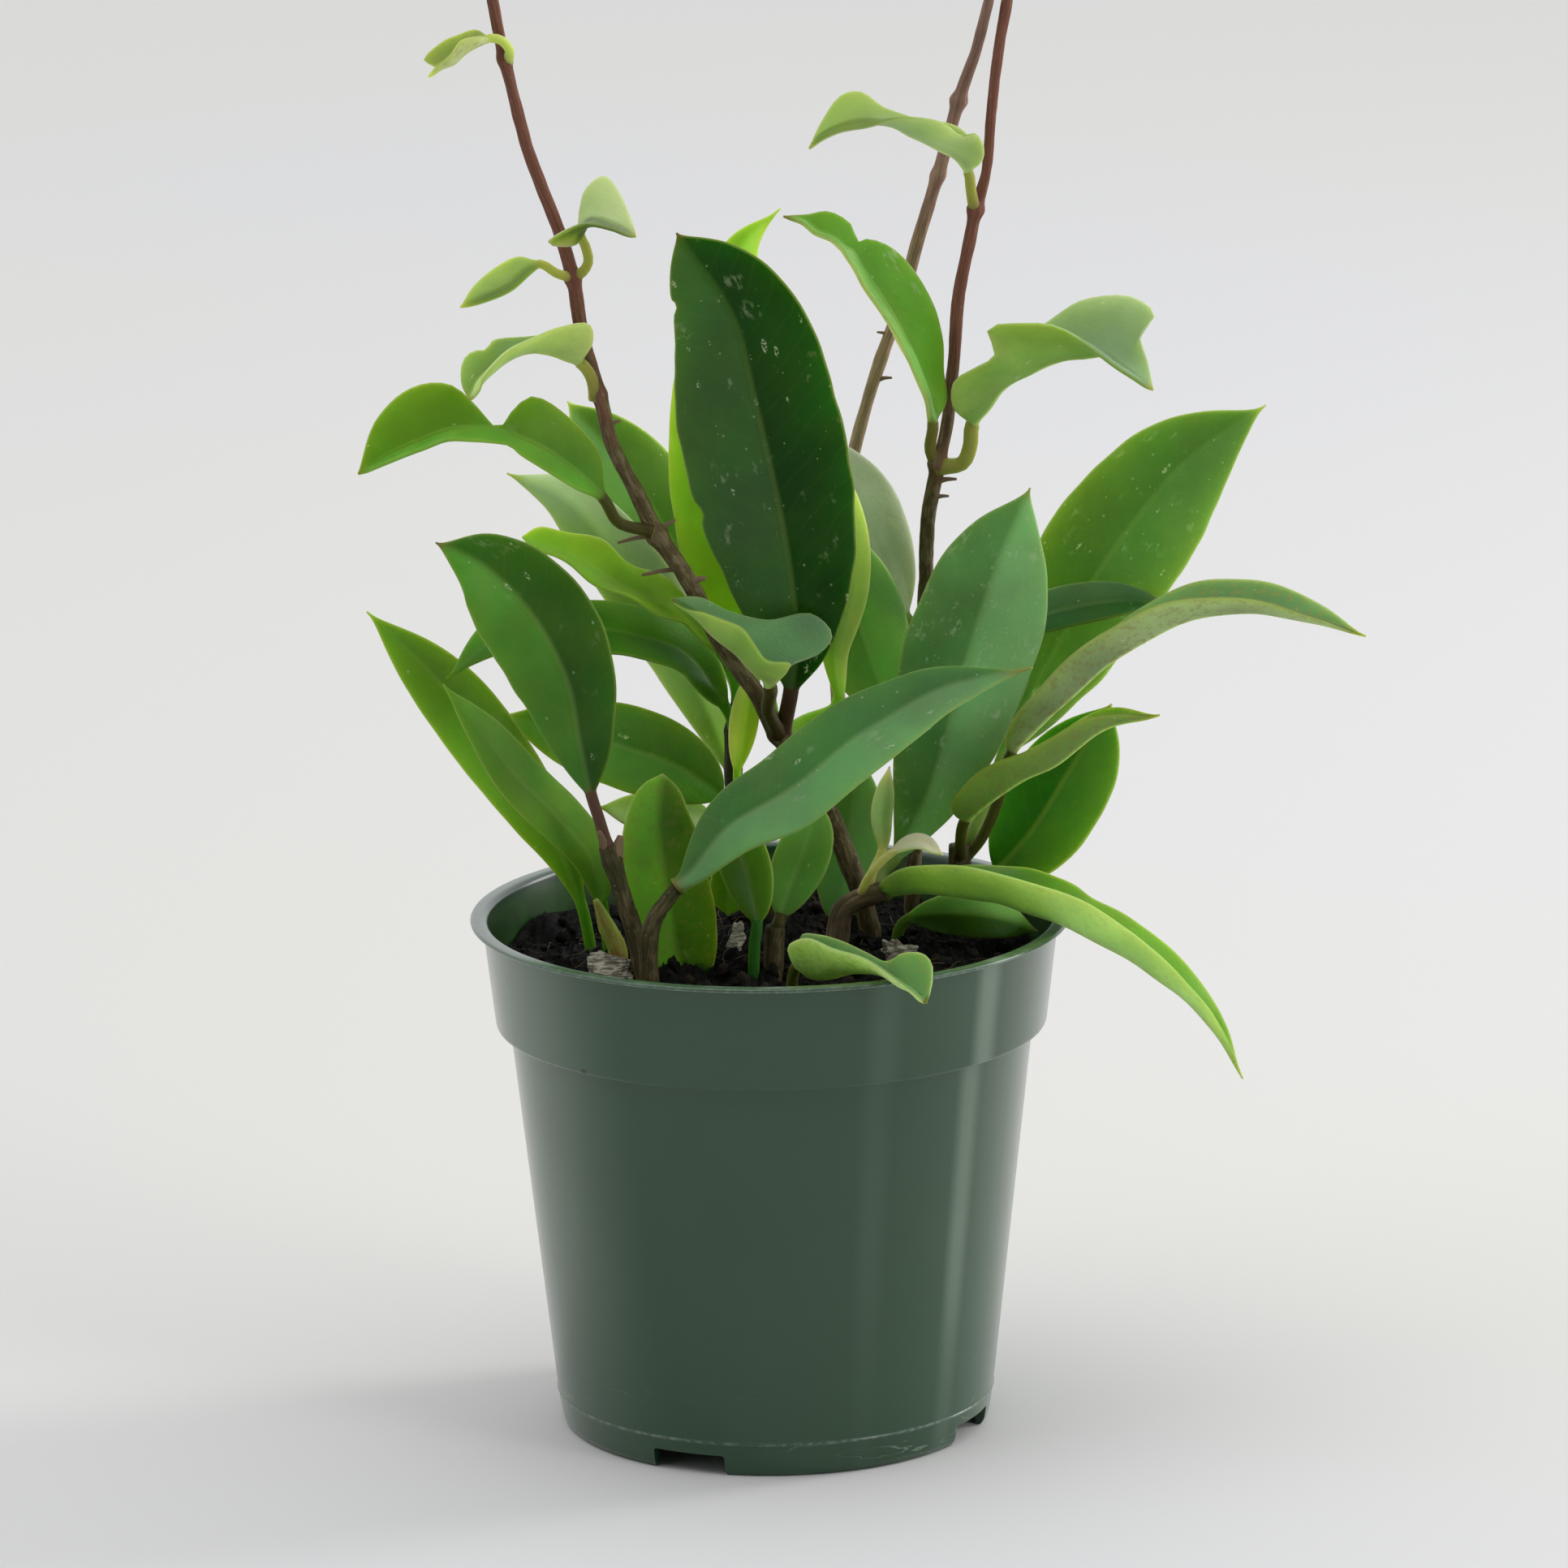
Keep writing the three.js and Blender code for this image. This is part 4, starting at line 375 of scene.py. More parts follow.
         path="""-6.5 27 114.5, -7 29.5 116.5, -7.5 30 120, -12.5 29 134.5, -19 28 148, -28 25 162.5,
         -38 22 175, -49 21 180.5"""),
    leaf("n7", "young", 2, "dusky fresh olive", halves=(1.7, 0.7), flecks=0.1, wide=18, fold=0.1,
         ab=(0.7, 0.5), face="0 -0.9 0.4",
         path="""-5.5 26 133.5, -6.5 31 137, -8 32.5 140, -13 33 151, -19 32 166, -27 31 179,
         -37.5 30 192.5"""),
    leaf("n8", "young", 2, "lime lime fresh", halves=(0.95, 1), wide=11, fold=0.5, ab=(0.7, 0.5),
         sharp=60, wave=(0.9, 3.2, 0.6), face="-0.1 -0.5 0.85",
         path="""-5.5 25 135, -6.5 21 140.5, -9 18 146, -16 16 153.5, -25.5 13 159, -36 10 166,
         -46 8 171"""),
    leaf("c1", "young", 1, "fresh olive olive", halves=(1.25, 0.5), flecks=0.2, blush=0.25, wide=17,
         fold=0.1, ab=(0.35, 0.5), sharp=60, face="0 -0.95 0.3",
         path="-16.5 -4 82, -16.5 -4 85, -18 -4 94, -20 -4 107.5, -21 -3 118.5, -20 -2 127"),
    leaf("c2_left", "young", 2, "fresh fresh dark", halves=(0.4, 0.6), wide=10, fold=0.3,
         ab=(0.6, 0.6), face="0.1 -0.9 0.4",
         path="-3.5 -10 82, -3 -10 96, -2.5 -9.5 100, -4 -7.5 107.5, -6.5 -4 114.5, -9 -1 121"),
    leaf("c2_right", "mid", 1, "leaf fresh twig", halves=(1.4, 1.4), flecks=0.1, wide=10.5, fold=0.3,
         ab=(0.6, 0.6), face="-0.1 -0.9 0.4",
         path="1 -6 97, 2 -4 99.5, 4.5 0 105.5, 7.5 2 113, 9.5 5 120"),
    leaf("c3", "mid", 2, "moss fresh fresh", halves=(1, 0.6), wide=8, fold=0.1, ab=(0.6, 0.45),
         petiole=0.9, face="0 -0.9 0.4",
         path="-4.5 28 106, -6 20 109.5, -7 15 108, -7.5 13 101.5, -8 12 95.5"),
    leaf("c4", "old", 1, "fern grey olive", halves=(1.35, 1.75), flecks=0.1, wide=13, fold=0.1,
         ab=(0.5, 0.6), face="0 -0.95 0.2",
         path="16 32 82, 15 32 88, 14.5 32 90.5, 15 32 101, 16.5 31 113.5, 17.5 30 122.5"),
    leaf("c5_up", "young", 2, "grey gold butter", halves=(1.4, 1.1), blush=0.1, wide=4, fold=0.3,
         petiole=0.9, thick=1, face="0 -0.9 0.3",
         path="18.5 12 99, 19.5 12 103.5, 21.5 10.5 108.5, 21.5 10 116, 23 10 125"),
    leaf("c5_side", "young", 2, "butter butter butter", halves=(1.9, 1.9), wide=4, fold=0.3,
         petiole=0.8, thick=1, face="0 -0.5 0.8",
         path="17 12 98.5, 19 8.5 104, 23.5 7 109, 28.5 6 111, 33 6 108.5"),
    leaf("c6", "young", 2, "lime lime lime", halves=(2.1, 0.75), wide=5.5, fold=0.2, petiole=0.8,
         thick=1, face="0 -0.95 0.2",
         path="-6.5 27 117, -6 22 119.5, -6 21 122, -5 20 129, -3.5 19 138, -1.5 19 143.5"),
    leaf("c7", "mid", 2, "sage fresh olive", halves=(2.2, 1.65), wide=8.5, fold=0.2, face="0 -0.85 0.5",
         path="-5.5 28 110.5, -7.5 24 111, -10.5 22 112, -16.5 18 114, -24.5 14 115.5, -32.5 11 117.5"),
    leaf("c9", "mid", 2, "moss leaf olive", halves=(2.4, 0.5), wide=10, fold=0.1, face="0 -0.7 0.7",
         path="24 15 82, 24.5 14 91.5, 26.5 12 94.5, 37.5 9 96, 45 9.5 94.5, 51 11 92"),
    leaf("a5_left", "young", 2, "lime pale plum", blush=0.1, wide=7, fold=0.5, face="-0.2 -0.5 0.8",
         path="-51 0 288.5, -53 -2 291, -55.5 -3 292, -59 -4 292.5, -65 -5 289.5"),
    leaf("a5_right", "young", 2, "lime pale plum", blush=0.1, wide=7, fold=0.5, face="0.2 -0.5 0.8",
         path="-51 0 288.5, -49 2 290, -47 3 291, -43 4 292, -37 5 289.5"),
    leaf("b3_left", "young", 2, "lime pale plum", blush=0.1, wide=8, fold=0.5, face="-0.2 -0.5 0.8",
         path="45 30 298, 42.5 28 300.5, 40 27 302, 34.5 25 302, 27.5 23 298.5"),
    leaf("c8_right", "young", 2, "lime pale plum", blush=0.1, wide=8, fold=0.5, face="0.2 -0.5 0.8",
         path="48.5 30 293.5, 51 32 295, 54.5 33 296, 60 34 295.5, 67 35 291"),
]

CHIPS = [
    {"name": "bark_chip_left", "at": [-30, -12, 91.5], "half": [4, 1.2, 2.8], "turn": [-35, 12, 8]},
    {"name": "bark_chip_middle", "at": [-6.5, 8, 91.5], "half": [1.3, 1.1, 3], "turn": [-40, 15, 0]},
    {"name": "bark_chip_right", "at": [24.5, 2, 90.2], "half": [3.2, 1.5, 2], "turn": [-50, 0, 20]},
]


def unit(v):
    """The same directions with length 1."""
    return v / np.maximum(np.linalg.norm(v, axis=-1, keepdims=True), 1e-12)


def circle(count):
    """Points on a circle of radius 1, the first on +X."""
    turn = 2 * np.pi * np.arange(count) / count
    return np.stack([np.cos(turn), np.sin(turn)], -1)


def curve(points, steps=24):
    """Centripetal Catmull-Rom path through the points, each span cut in equal steps of its
    parameter. Gives the path, the length up to each of its points, and that at the given ones."""
    p = np.asarray([q[:3] for q in points], float)
    q = np.vstack([2 * p[0] - p[1], p, 2 * p[-1] - p[-2]])
    spans = [p[:1]]
    for p0, p1, p2, p3 in zip(q, q[1:], q[2:], q[3:]):
        t1 = np.linalg.norm(p1 - p0) ** 0.5
        t2 = t1 + np.linalg.norm(p2 - p1) ** 0.5
        t3 = t2 + np.linalg.norm(p3 - p2) ** 0.5
        t = t1 + (t2 - t1) * np.arange(1, steps + 1)[:, None] / steps
        a1 = ((t1 - t) * p0 + t * p1) / t1
        a2 = ((t2 - t) * p1 + (t - t1) * p2) / (t2 - t1)
        a3 = ((t3 - t) * p2 + (t - t2) * p3) / (t3 - t2)
        b1 = ((t2 - t) * a1 + t * a2) / t2
        b2 = ((t3 - t) * a2 + (t - t1) * a3) / (t3 - t1)
        spans.append(((t2 - t) * b1 + (t - t1) * b2) / (t2 - t1))
    path = np.vstack(spans)
    lengths = np.append(0, np.cumsum(np.linalg.norm(np.diff(path, axis=0), axis=1)))
    return path, lengths, lengths[::steps]


def point_on(path, lengths, x):
    """Points of the path at the lengths x."""
    return np.stack([np.interp(x, lengths, path[:, k]) for k in range(3)], axis=-1)


def direction_on(path, lengths, x, reach=0.4):
    """Direction of the path at the lengths x: from a little before to a little after."""
    ahead = point_on(path, lengths, np.minimum(x + reach, lengths[-1]))
    return unit(ahead - point_on(path, lengths, np.maximum(x - reach, 0)))


def ripple(points, seed, shortest, longest, count=16):
    """Sum of sine waves over the points in seeded directions, with wavelengths between the two
    given ones, each as high as it is long; the sum lies mostly within -1..1."""
    draw = np.random.default_rng(seed)
    long = shortest * (longest / shortest) ** draw.random(count)
    ways = unit(draw.normal(size=(count, points.shape[-1]))) / long[:, None]
    waves = np.sin(2 * np.pi * (points @ ways.T + draw.random(count)))
    return waves @ long / np.sqrt((long**2).sum() * 0.7)


def grid_faces(rows, columns):
    """Quads of a grid of points whose last column joins the first."""
    i, j = np.meshgrid(np.arange(rows - 1), np.arange(columns), indexing="ij")
    k = (j + 1) % columns
    quads = np.stack([i * columns + j, i * columns + k, (i + 1) * columns + k, (i + 1) * columns + j], -1)
    return quads.reshape(-1, 4)


def fan_faces(first, count, tip, turned=False):
    """Triangles from a ring of count points, starting at first, to the point tip."""
    j = first + np.arange(count)
    k = first + (np.arange(count) + 1) % count
    ring = (k, j) if turned else (j, k)
    return np.stack([*ring, np.full(count, tip)], -1)


def ring_faces(rows, columns):
    """Faces of rings of points: quads between them and, at each end, a fan to a further point."""
    last = rows * columns
    fans = [fan_faces(0, columns, last, True), fan_faces(last - columns, columns, last + 1)]
    return grid_faces(rows, columns), np.vstack(fans)


def closed_rings(rings, values):
    """Body from rings of points, closed by a middle point at each end."""
    rows, columns = rings.shape[:2]
    points = np.vstack([rings.reshape(-1, 3), rings[0].mean(0), rings[-1].mean(0)])
    full = {}
    for key, some in values.items():
        flat = np.broadcast_to(some, (rows, columns)).ravel()
        full[key] = np.concatenate([flat, [flat[:columns].mean(), flat[-columns:].mean()]])
    return points, ring_faces(rows, columns), full


def turned_body(profile, sides):
    """Body of revolution: the profile's points carried round the Z axis; it starts and ends on it."""
    r, z = profile[1:-1].T
    across = np.outer(r, circle(sides)).reshape(len(r), sides, 2)
    rings = np.concatenate([across, np.broadcast_to(z[:, None, None], (len(z), sides, 1))], -1)
    points = np.vstack([rings.reshape(-1, 3), [0, 0, profile[0][1]], [0, 0, profile[-1][1]]])
    return points, ring_faces(len(z), sides)


def outward(points, faces):
    """The same faces, turned round if they enclose a negative volume."""
    volume = 0
    for f in faces:
        for k in range(1, f.shape[1] - 1):
            a, b, c = points[f[:, 0]], points[f[:, k]], points[f[:, k + 1]]
            volume += np.einsum("ij,ij->", a, np.cross(b, c))
    return faces if volume >= 0 else tuple(f[:, ::-1] for f in faces)


def join_parts(parts):
    """One set of points, faces and values from several; faces are (quads, triangles)."""
    start = 0
    points, quads, triangles, values = [], [], [], {}
    for some_points, some_faces, some_values in parts:
        some_quads, some_triangles = outward(some_points, some_faces)
        points.append(some_points)
        quads.append(some_quads + start)
        triangles.append(some_triangles + start)
        for key, some in some_values.items():
            values.setdefault(key, []).append(some)
        start += len(some_points)
    merged = {key: np.concatenate(some) for key, some in values.items()}
    return np.concatenate(points), [np.concatenate(quads), np.concatenate(triangles)], merged


def make_mesh(name, points, faces, values=None):
    """Smooth mesh of points in millimetres and lists of faces with as many corners each; values
    are stored at its points under their names."""
    mesh = bpy.data.meshes.new(name)
    corners = np.concatenate([f.ravel() for f in faces]).astype(np.int32)
    sizes = np.concatenate([np.full(len(f), f.shape[1]) for f in faces])
    mesh.vertices.add(len(points))
    mesh.vertices.foreach_set("co", (points * MM).ravel().astype(np.float32))
    mesh.loops.add(len(corners))
    mesh.loops.foreach_set("vertex_index", corners)
    mesh.polygons.add(len(sizes))
    mesh.polygons.foreach_set("loop_start", np.append(0, np.cumsum(sizes)[:-1]).astype(np.int32))
    mesh.update(calc_edges=True)
    for key, some in (values or {}).items():
        mesh.attributes.new(key, "FLOAT", "POINT").data.foreach_set("value", some.astype(np.float32))
    mesh.shade_smooth()
    return mesh


def new_object(name, data):
    """Object of that name in the scene."""
    obj = bpy.data.objects.new(name, data)
    bpy.context.scene.collection.objects.link(obj)
    return obj


def piece(mesh, material, node, slot):
    """Object of the finished mesh in place of the solid node of that name."""
    obj = new_object(mesh.name, mesh)
    mesh.materials.append(material)
    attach(obj, "root")
    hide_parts(node)


def margin_arms(row, path, lengths, knots, x):
    """Vectors from the midrib to the left and the right margin at the lengths x. A margin's points
    lie across from those of the path, from the blade's foot to its tip."""
    foot = row["base"]
    arms = []
    for margin in (row["left"], row["right"]):
        line, long, marks = curve([row["path"][foot], *margin, row["path"][-1]])
        there = np.interp(x, knots[foot:], marks)
        arm = point_on(line, long, there) - point_on(path, lengths, x)
        arms.append(np.where(x[:, None] > knots[foot], arm, 0))
    return np.array(arms)


def outline_width(row, u):
    """Half width wide/2 * k * u^a * (1-u)^b * (1-u^sharp), k making the greatest value of the
    first two powers 1."""
    a, b = row.get("ab", OUTLINE)
    peak = a / (a + b)
    w = row["wide"] / 2 / (peak**a * (1 - peak) ** b) * np.maximum(u, 1e-9) ** a
    return w * np.maximum(1 - u, 1e-9) ** b * (1 - u ** row.get("sharp", TIP_POWER))


def leaf_rings(row, seed, sizes):
    """Rings of points round a leaf, from its foot to its tip.

    Half width: that of the outline or of the row's margins, with the petiole's radius added as the
    long side of a right angle, less the bites. Height of the middle surface over the path: the
    width times a fold that opens on both sides, plus the waves of the margin and a slow
    unevenness. Half thickness: a round petiole that turns into a thin blade with a rounded margin;
    a groove runs along the midrib above and a ridge below."""
    path, lengths, knots = curve(row["path"])
    start, end = knots[row["base"]], lengths[-1]
    blade_long = end - start
    count = int(np.clip(blade_long / sizes.step, FEWEST_SPANS, MOST_SPANS))
    along = (1 - np.cos(np.pi * np.arange(count + 1) / count)) / 2
    u = 0.55 * along + 0.45 * np.arange(count + 1) / count
    foot = np.linspace(0, start, max(2, int(start / sizes.step) + 1))[:-1] if start else np.zeros(0)
    x = np.concatenate([foot, start + u * blade_long])
    u = np.concatenate([np.zeros(len(foot)), u])
    centre = point_on(path, lengths, x)
    ahead = direction_on(path, lengths, x)
    faces = unit(np.asarray(row["face"] * (3 if len(row["face"]) == 1 else 1), float))
    mix = np.stack([2 * (u - 0.5) * (u - 1), 4 * u * (1 - u), 2 * u * (u - 0.5)], -1)
    face = mix @ faces
    up = unit(face - (face * ahead).sum(-1, keepdims=True) * ahead)
    side = np.cross(ahead, up)

    twisted = "left" in row
    if twisted:
        arms = margin_arms(row, path, lengths, knots, x)
        w = np.linalg.norm(arms, axis=-1).mean(0)
    else:
        w = outline_width(row, u)
    petiole = row.get("petiole", PETIOLE_RADIUS)
    tip = TIP_RADIUS * (1 - 0.6 * u**8)
    round_part = petiole + (tip - petiole) * np.sqrt(u)
    round_part = round_part * (1 + FOOT_SWELL * np.exp(-x / FOOT_LONG))
    blend = w / (w + 1)

    v = np.concatenate([-HALF_ACROSS[:0:-1], HALF_ACROSS])
    half = np.hypot(round_part, w)[:, None] * np.ones(len(v))
    side = side[:, None]
    up = up[:, None]
    if twisted:
        half = np.where(v < 0, *(np.hypot(round_part, np.linalg.norm(a, axis=-1))[:, None] for a in arms))
        ways = [unit(sign * a[:, None] + 0.4 * side) for sign, a in zip((-1, 1), arms)]
        turns = [unit(np.cross(way, ahead[:, None])) for way in ways]
        share = np.clip(0.5 + 1.6 * v, 0, 1)[None, :, None]
        side = np.where(v[None, :, None] < 0, *ways)
        up = unit(turns[0] * (1 - share) + turns[1] * share)
    for bite_side, place, deep, long in row.get("bites", ()):
        cut = deep * np.exp(-(((u - place) * blade_long / long) ** 2))
        half = half - np.where(v * bite_side > 0, cut[:, None], 0)
    wobble = ripple(np.stack([x, np.full(len(x), 7.0)], -1), seed, 6, 26, 8)
    half = half * (1 + MARGIN_WOBBLE * (wobble * blend)[:, None] * np.sign(v))

    arch = np.sqrt(1 - v**2)
    inside = half * (1 - np.abs(v))
    edge = np.sqrt(np.clip(1 - (1 - np.minimum(inside / ROUND_MARGIN, 1)) ** 2, 0, 1))
    blade = (MARGIN_HALF + (row.get("thick", BLADE_THICK) / 2 - MARGIN_HALF) * arch) * edge
    h = (round_part * (1 - blend))[:, None] * arch + blade * blend[:, None]
    mm = half * v
    if twisted:
        lift = half * (0.6 * (np.sqrt(v**2 + 0.01) - np.abs(v)) - 0.12 * (np.abs(v) - v**2))
    else:
        lift = w[:, None] * (row["fold"] * (np.sqrt(v**2 + 0.01) - 0.1) - 0.05 * v**2)
    if "wave" in row:
        high, waves, phase = row["wave"]
        swing = high * np.sin(2 * np.pi * waves * u + phase) * np.minimum(1, w / 4)
        lift += swing[:, None] * v * np.abs(v)
    lay = np.stack([np.broadcast_to(x[:, None], mm.shape), mm], -1)
    lift += sizes.uneven * ripple(lay, seed + 1, 7, 30, 14) * blend[:, None] * np.minimum(1, w / 5)[:, None]
    rib = blend[:, None] * np.exp(-((mm / RIB_WIDE) ** 2)) * (1 - 0.7 * u)[:, None]
    middle = centre[:, None] + side * mm[..., None] + up * lift[..., None]
    upper = middle + up * (h - sizes.rib * rib)[..., None]
    lower = middle - up * (h + RIDGE * sizes.rib * rib)[..., None]

    def around(top, bottom=None):
        bottom = top if bottom is None else bottom
        return np.concatenate([top, bottom[:, -2:0:-1]], axis=1)

    flat = np.ones_like(mm)
    values = {
        "along_mm": around(flat * (x - start)[:, None]),
        "across_mm": around(mm),
        "margin_mm": around(inside),
        "upper": around(np.where(np.abs(v) < 1, 1.0, 0.5) * flat, 0 * flat),
        "blade": around(flat * blend[:, None]),
        "reach": around(flat * u[:, None]),
    }
    return around(upper, lower), values


def tube_rings(path_row, joints, seed, sides, step, rough):
    """Rings round a stem: the row's radius, a swelling at each joint, and seeded unevenness of the
    share rough."""
    path, lengths, knots = curve(path_row)
    x = np.linspace(0, lengths[-1], max(3, int(lengths[-1] / step)))
    ahead = direction_on(path, lengths, x)
    first = np.array([1.0, 0, 0]) if abs(ahead[0][2]) > 0.9 else np.array([0, 0, 1.0])
    lean = unit(first - (ahead @ first)[:, None] * ahead)
    up = np.cross(ahead, lean)
    radius = np.interp(x, knots, [q[3] for q in path_row])
    for k, swell in joints:
        radius = radius + swell * np.exp(-(((x - knots[int(k)]) / JOINT_LONG) ** 2))
    around = circle(sides)
    lay = np.concatenate([
        np.broadcast_to(around * 1.6, (len(x), sides, 2)),
        np.broadcast_to(x[:, None, None] * 0.45, (len(x), sides, 1)),
    ], -1)
    r = radius[:, None] * (1 + rough * ripple(lay, seed, 0.8, 6, 24))
    rings = point_on(path, lengths, x)[:, None] + r[..., None] * (
        around[None, :, :1] * lean[:, None] + around[None, :, 1:] * up[:, None])
    values = {
        "along_mm": np.broadcast_to(x[:, None], r.shape),
        "turn_x": np.broadcast_to(around[:, 0], r.shape),
        "turn_y": np.broadcast_to(around[:, 1], r.shape),
        "nub": np.zeros(r.shape),
    }
    return rings, values


def rounded(profile, radius, steps=4):
    """The profile with each corner swapped for a parabola that starts and ends that far from it,
    or at two fifths of a shorter side."""
    p = np.asarray(profile, float)
    here = p[1:-1]

    def towards(q):
        gap = np.linalg.norm(q - here, axis=1, keepdims=True)
        return here + (q - here) * np.minimum(radius / gap, 0.4)

    a, b = towards(p[:-2])[:, None], towards(p[2:])[:, None]
    t = np.linspace(0, 1, steps)[None, :, None]
    bends = (1 - t) ** 2 * a + 2 * t * (1 - t) * here[:, None] + t**2 * b
    return np.vstack([p[:1], bends.reshape(-1, 2), p[-1:]])


def prism(outline, depth):
    """Straight body with that outline in Y and Z, from x = -depth to x = depth."""
    rings = np.stack([np.column_stack([np.full(len(outline), x), outline]) for x in (-depth, depth)])
    points, faces, _ = closed_rings(rings, {})
    return points, outward(points, faces)


def soil_height(x, y):
    """Height of the soil: a gentle slope, highest at the back left, and twelve waves with the same
    seeded draws as in the part's source, so that the bumps agree."""
    state = 1961

    def draw():
        nonlocal state
        state = state * 16807 % 2147483647
        return state / 2147483647

    z = SOIL_Z + 0.025 * y - 0.01 * x
    for _ in range(12):
        turn = 2 * np.pi * draw()
        f, phase = 0.12 + 0.45 * draw(), 6.28 * draw()
        z = z + 1.1 / 4 * np.sin(f * (math.cos(turn) * x + math.sin(turn) * y) + phase)
    return z


def crumbly(x, y, high):
    """Height of the soil with its crumbs: three layers of ridged waves, 1 - |wave|, each finer one
    lower than the last."""
    lay = np.stack([x, y], -1)
    rough = 0.55 * (1 - np.abs(ripple(lay, 5, 5, 12))) + 0.3 * (1 - np.abs(ripple(lay, 6, 2.2, 5)))
    return soil_height(x, y) + high * (rough + 0.25 * ripple(lay, 7, 1, 2.2, 24) - 0.45)


def lump(half, seed, rows, columns, square, rough, finest=0.6, longest=3.0):
    """Rough lump: a ball whose cosines and sines are raised to the power square, so that a low one
    gives a box, with seeded waves of the share rough along its radius."""
    def bend(t):
        return np.sign(t) * np.abs(t) ** square

    fall = np.pi * (np.arange(rows) + 0.5) / rows
    wide = np.abs(bend(np.sin(fall)))
    ball = np.stack([*(np.outer(wide, bend(t)) for t in circle(columns).T),
                     np.outer(bend(np.cos(fall)), np.ones(columns))], -1)
    rings = ball * np.asarray(half)
    return rings * (1 + rough * ripple(rings, seed, finest, longest, 20))[..., None]


def turned_by(points, turn, at=(0, 0, 0)):
    """The points turned about X, Y and Z by these degrees, Z first, and moved."""
    x, y, z = (Matrix.Rotation(math.radians(d), 3, axis) for d, axis in zip(turn, "XYZ"))
    return points @ np.array(x @ y @ z).T + np.asarray(at, float)


def pot_profile():
    """Half section of the pot, radius and height, from the middle of the foot outwards, up the
    outside, over the lip and down the inside: the solid's profile with the foot's parting ridge."""
    def inner(r, z):
        return [r - WALL, z]

    return [
        [0, 0], [CENTRE_PAD_RADIUS, 0], [CENTRE_PAD_RADIUS + 2, CHANNEL_Z - 1],
        [FOOT_RADIUS - 1.6, CHANNEL_Z - 1], [FOOT_RADIUS - 1.2, 0], [FOOT_RADIUS - 0.3, 0],
        [FOOT_RADIUS + 0.5, 1.2], [BODY_FOOT_RADIUS - 0.05, BODY_FOOT_Z - 0.1],
        [BODY_FOOT_RADIUS + 0.2, BODY_FOOT_Z + 0.1], [BODY_FOOT_RADIUS + 0.03, BODY_FOOT_Z + 0.5],
        [BODY_TOP_RADIUS, COLLAR_FOOT_Z - 0.6], [BODY_TOP_RADIUS + 0.5, COLLAR_FOOT_Z],
        [COLLAR_FOOT_RADIUS - 0.3, COLLAR_FOOT_Z], [COLLAR_FOOT_RADIUS, COLLAR_FOOT_Z + 0.5],
        [COLLAR_TOP_RADIUS, POT_HEIGHT - LIP_THICK], [LIP_RADIUS - 0.2, POT_HEIGHT - LIP_THICK],
        [LIP_RADIUS, POT_HEIGHT - LIP_THICK / 2], [LIP_RADIUS - 0.3, POT_HEIGHT],
        [COLLAR_TOP_RADIUS - 0.2, POT_HEIGHT], inner(COLLAR_TOP_RADIUS, POT_HEIGHT - 0.6),
        inner(COLLAR_FOOT_RADIUS, COLLAR_FOOT_Z + 1.5), inner(BODY_TOP_RADIUS, COLLAR_FOOT_Z - 1.2),
        inner(BODY_FOOT_RADIUS, BODY_FOOT_Z), [CENTRE_PAD_RADIUS + 2.5, CHANNEL_Z + 0.4],
        [CENTRE_PAD_RADIUS - 1, 1.4], [0, 1.4],
    ]


def pot_cuts():
    """Bodies to cut from the pot: four slots with rounded corners at the foot and four round drain
    holes half way between them."""
    wide = SLOT_WIDTH / 2
    corner = np.linspace(0, np.pi / 2, 5)
    bend = SLOT_CORNER * np.column_stack([np.cos(corner), np.sin(corner)])
    arc = [wide - SLOT_CORNER, SLOT_HEIGHT - SLOT_CORNER] + bend
    slot = np.vstack([[wide, -1], arc, arc[::-1] * [-1, 1], [-wide, -1]])
    cuts = []
    for k in range(4):
        angle = SLOT_FIRST_ANGLE + 90 * k
        points, faces = prism(slot, 4)
        cuts.append((turned_by(points + [FOOT_RADIUS + 1.6, 0, 0], (0, 0, angle)), faces))
        points, faces = prism(DRAIN_RADIUS * circle(40), 3)
        upright = turned_by(points, (0, 90, 0), (DRAIN_RING_RADIUS, 0, CHANNEL_Z))
        cuts.append((turned_by(upright, (0, 0, angle + 45)), faces))
    return cuts


def soil_plug(rim, high, sides=230, count=84):
    """Plug of soil: it fills the pot up to the radius rim, and its top is a polar grid whose height
    is that of crumbly()."""
    levels = [(BODY_FOOT_RADIUS, BODY_FOOT_Z + 0.6), (BODY_TOP_RADIUS, COLLAR_FOOT_Z - 1.3),
              (COLLAR_FOOT_RADIUS, COLLAR_FOOT_Z + 1.6)]
    ring = circle(sides)
    rings = [np.column_stack([ring * (r - WALL - SOIL_GAP), np.full(sides, z)]) for r, z in levels]
    for r in rim * np.linspace(1, 0.012, count):
        flat = ring * r
        rings.append(np.column_stack([flat, crumbly(*flat.T, high * min(1, (rim - r) / 1.5))]))
    return np.stack(rings)


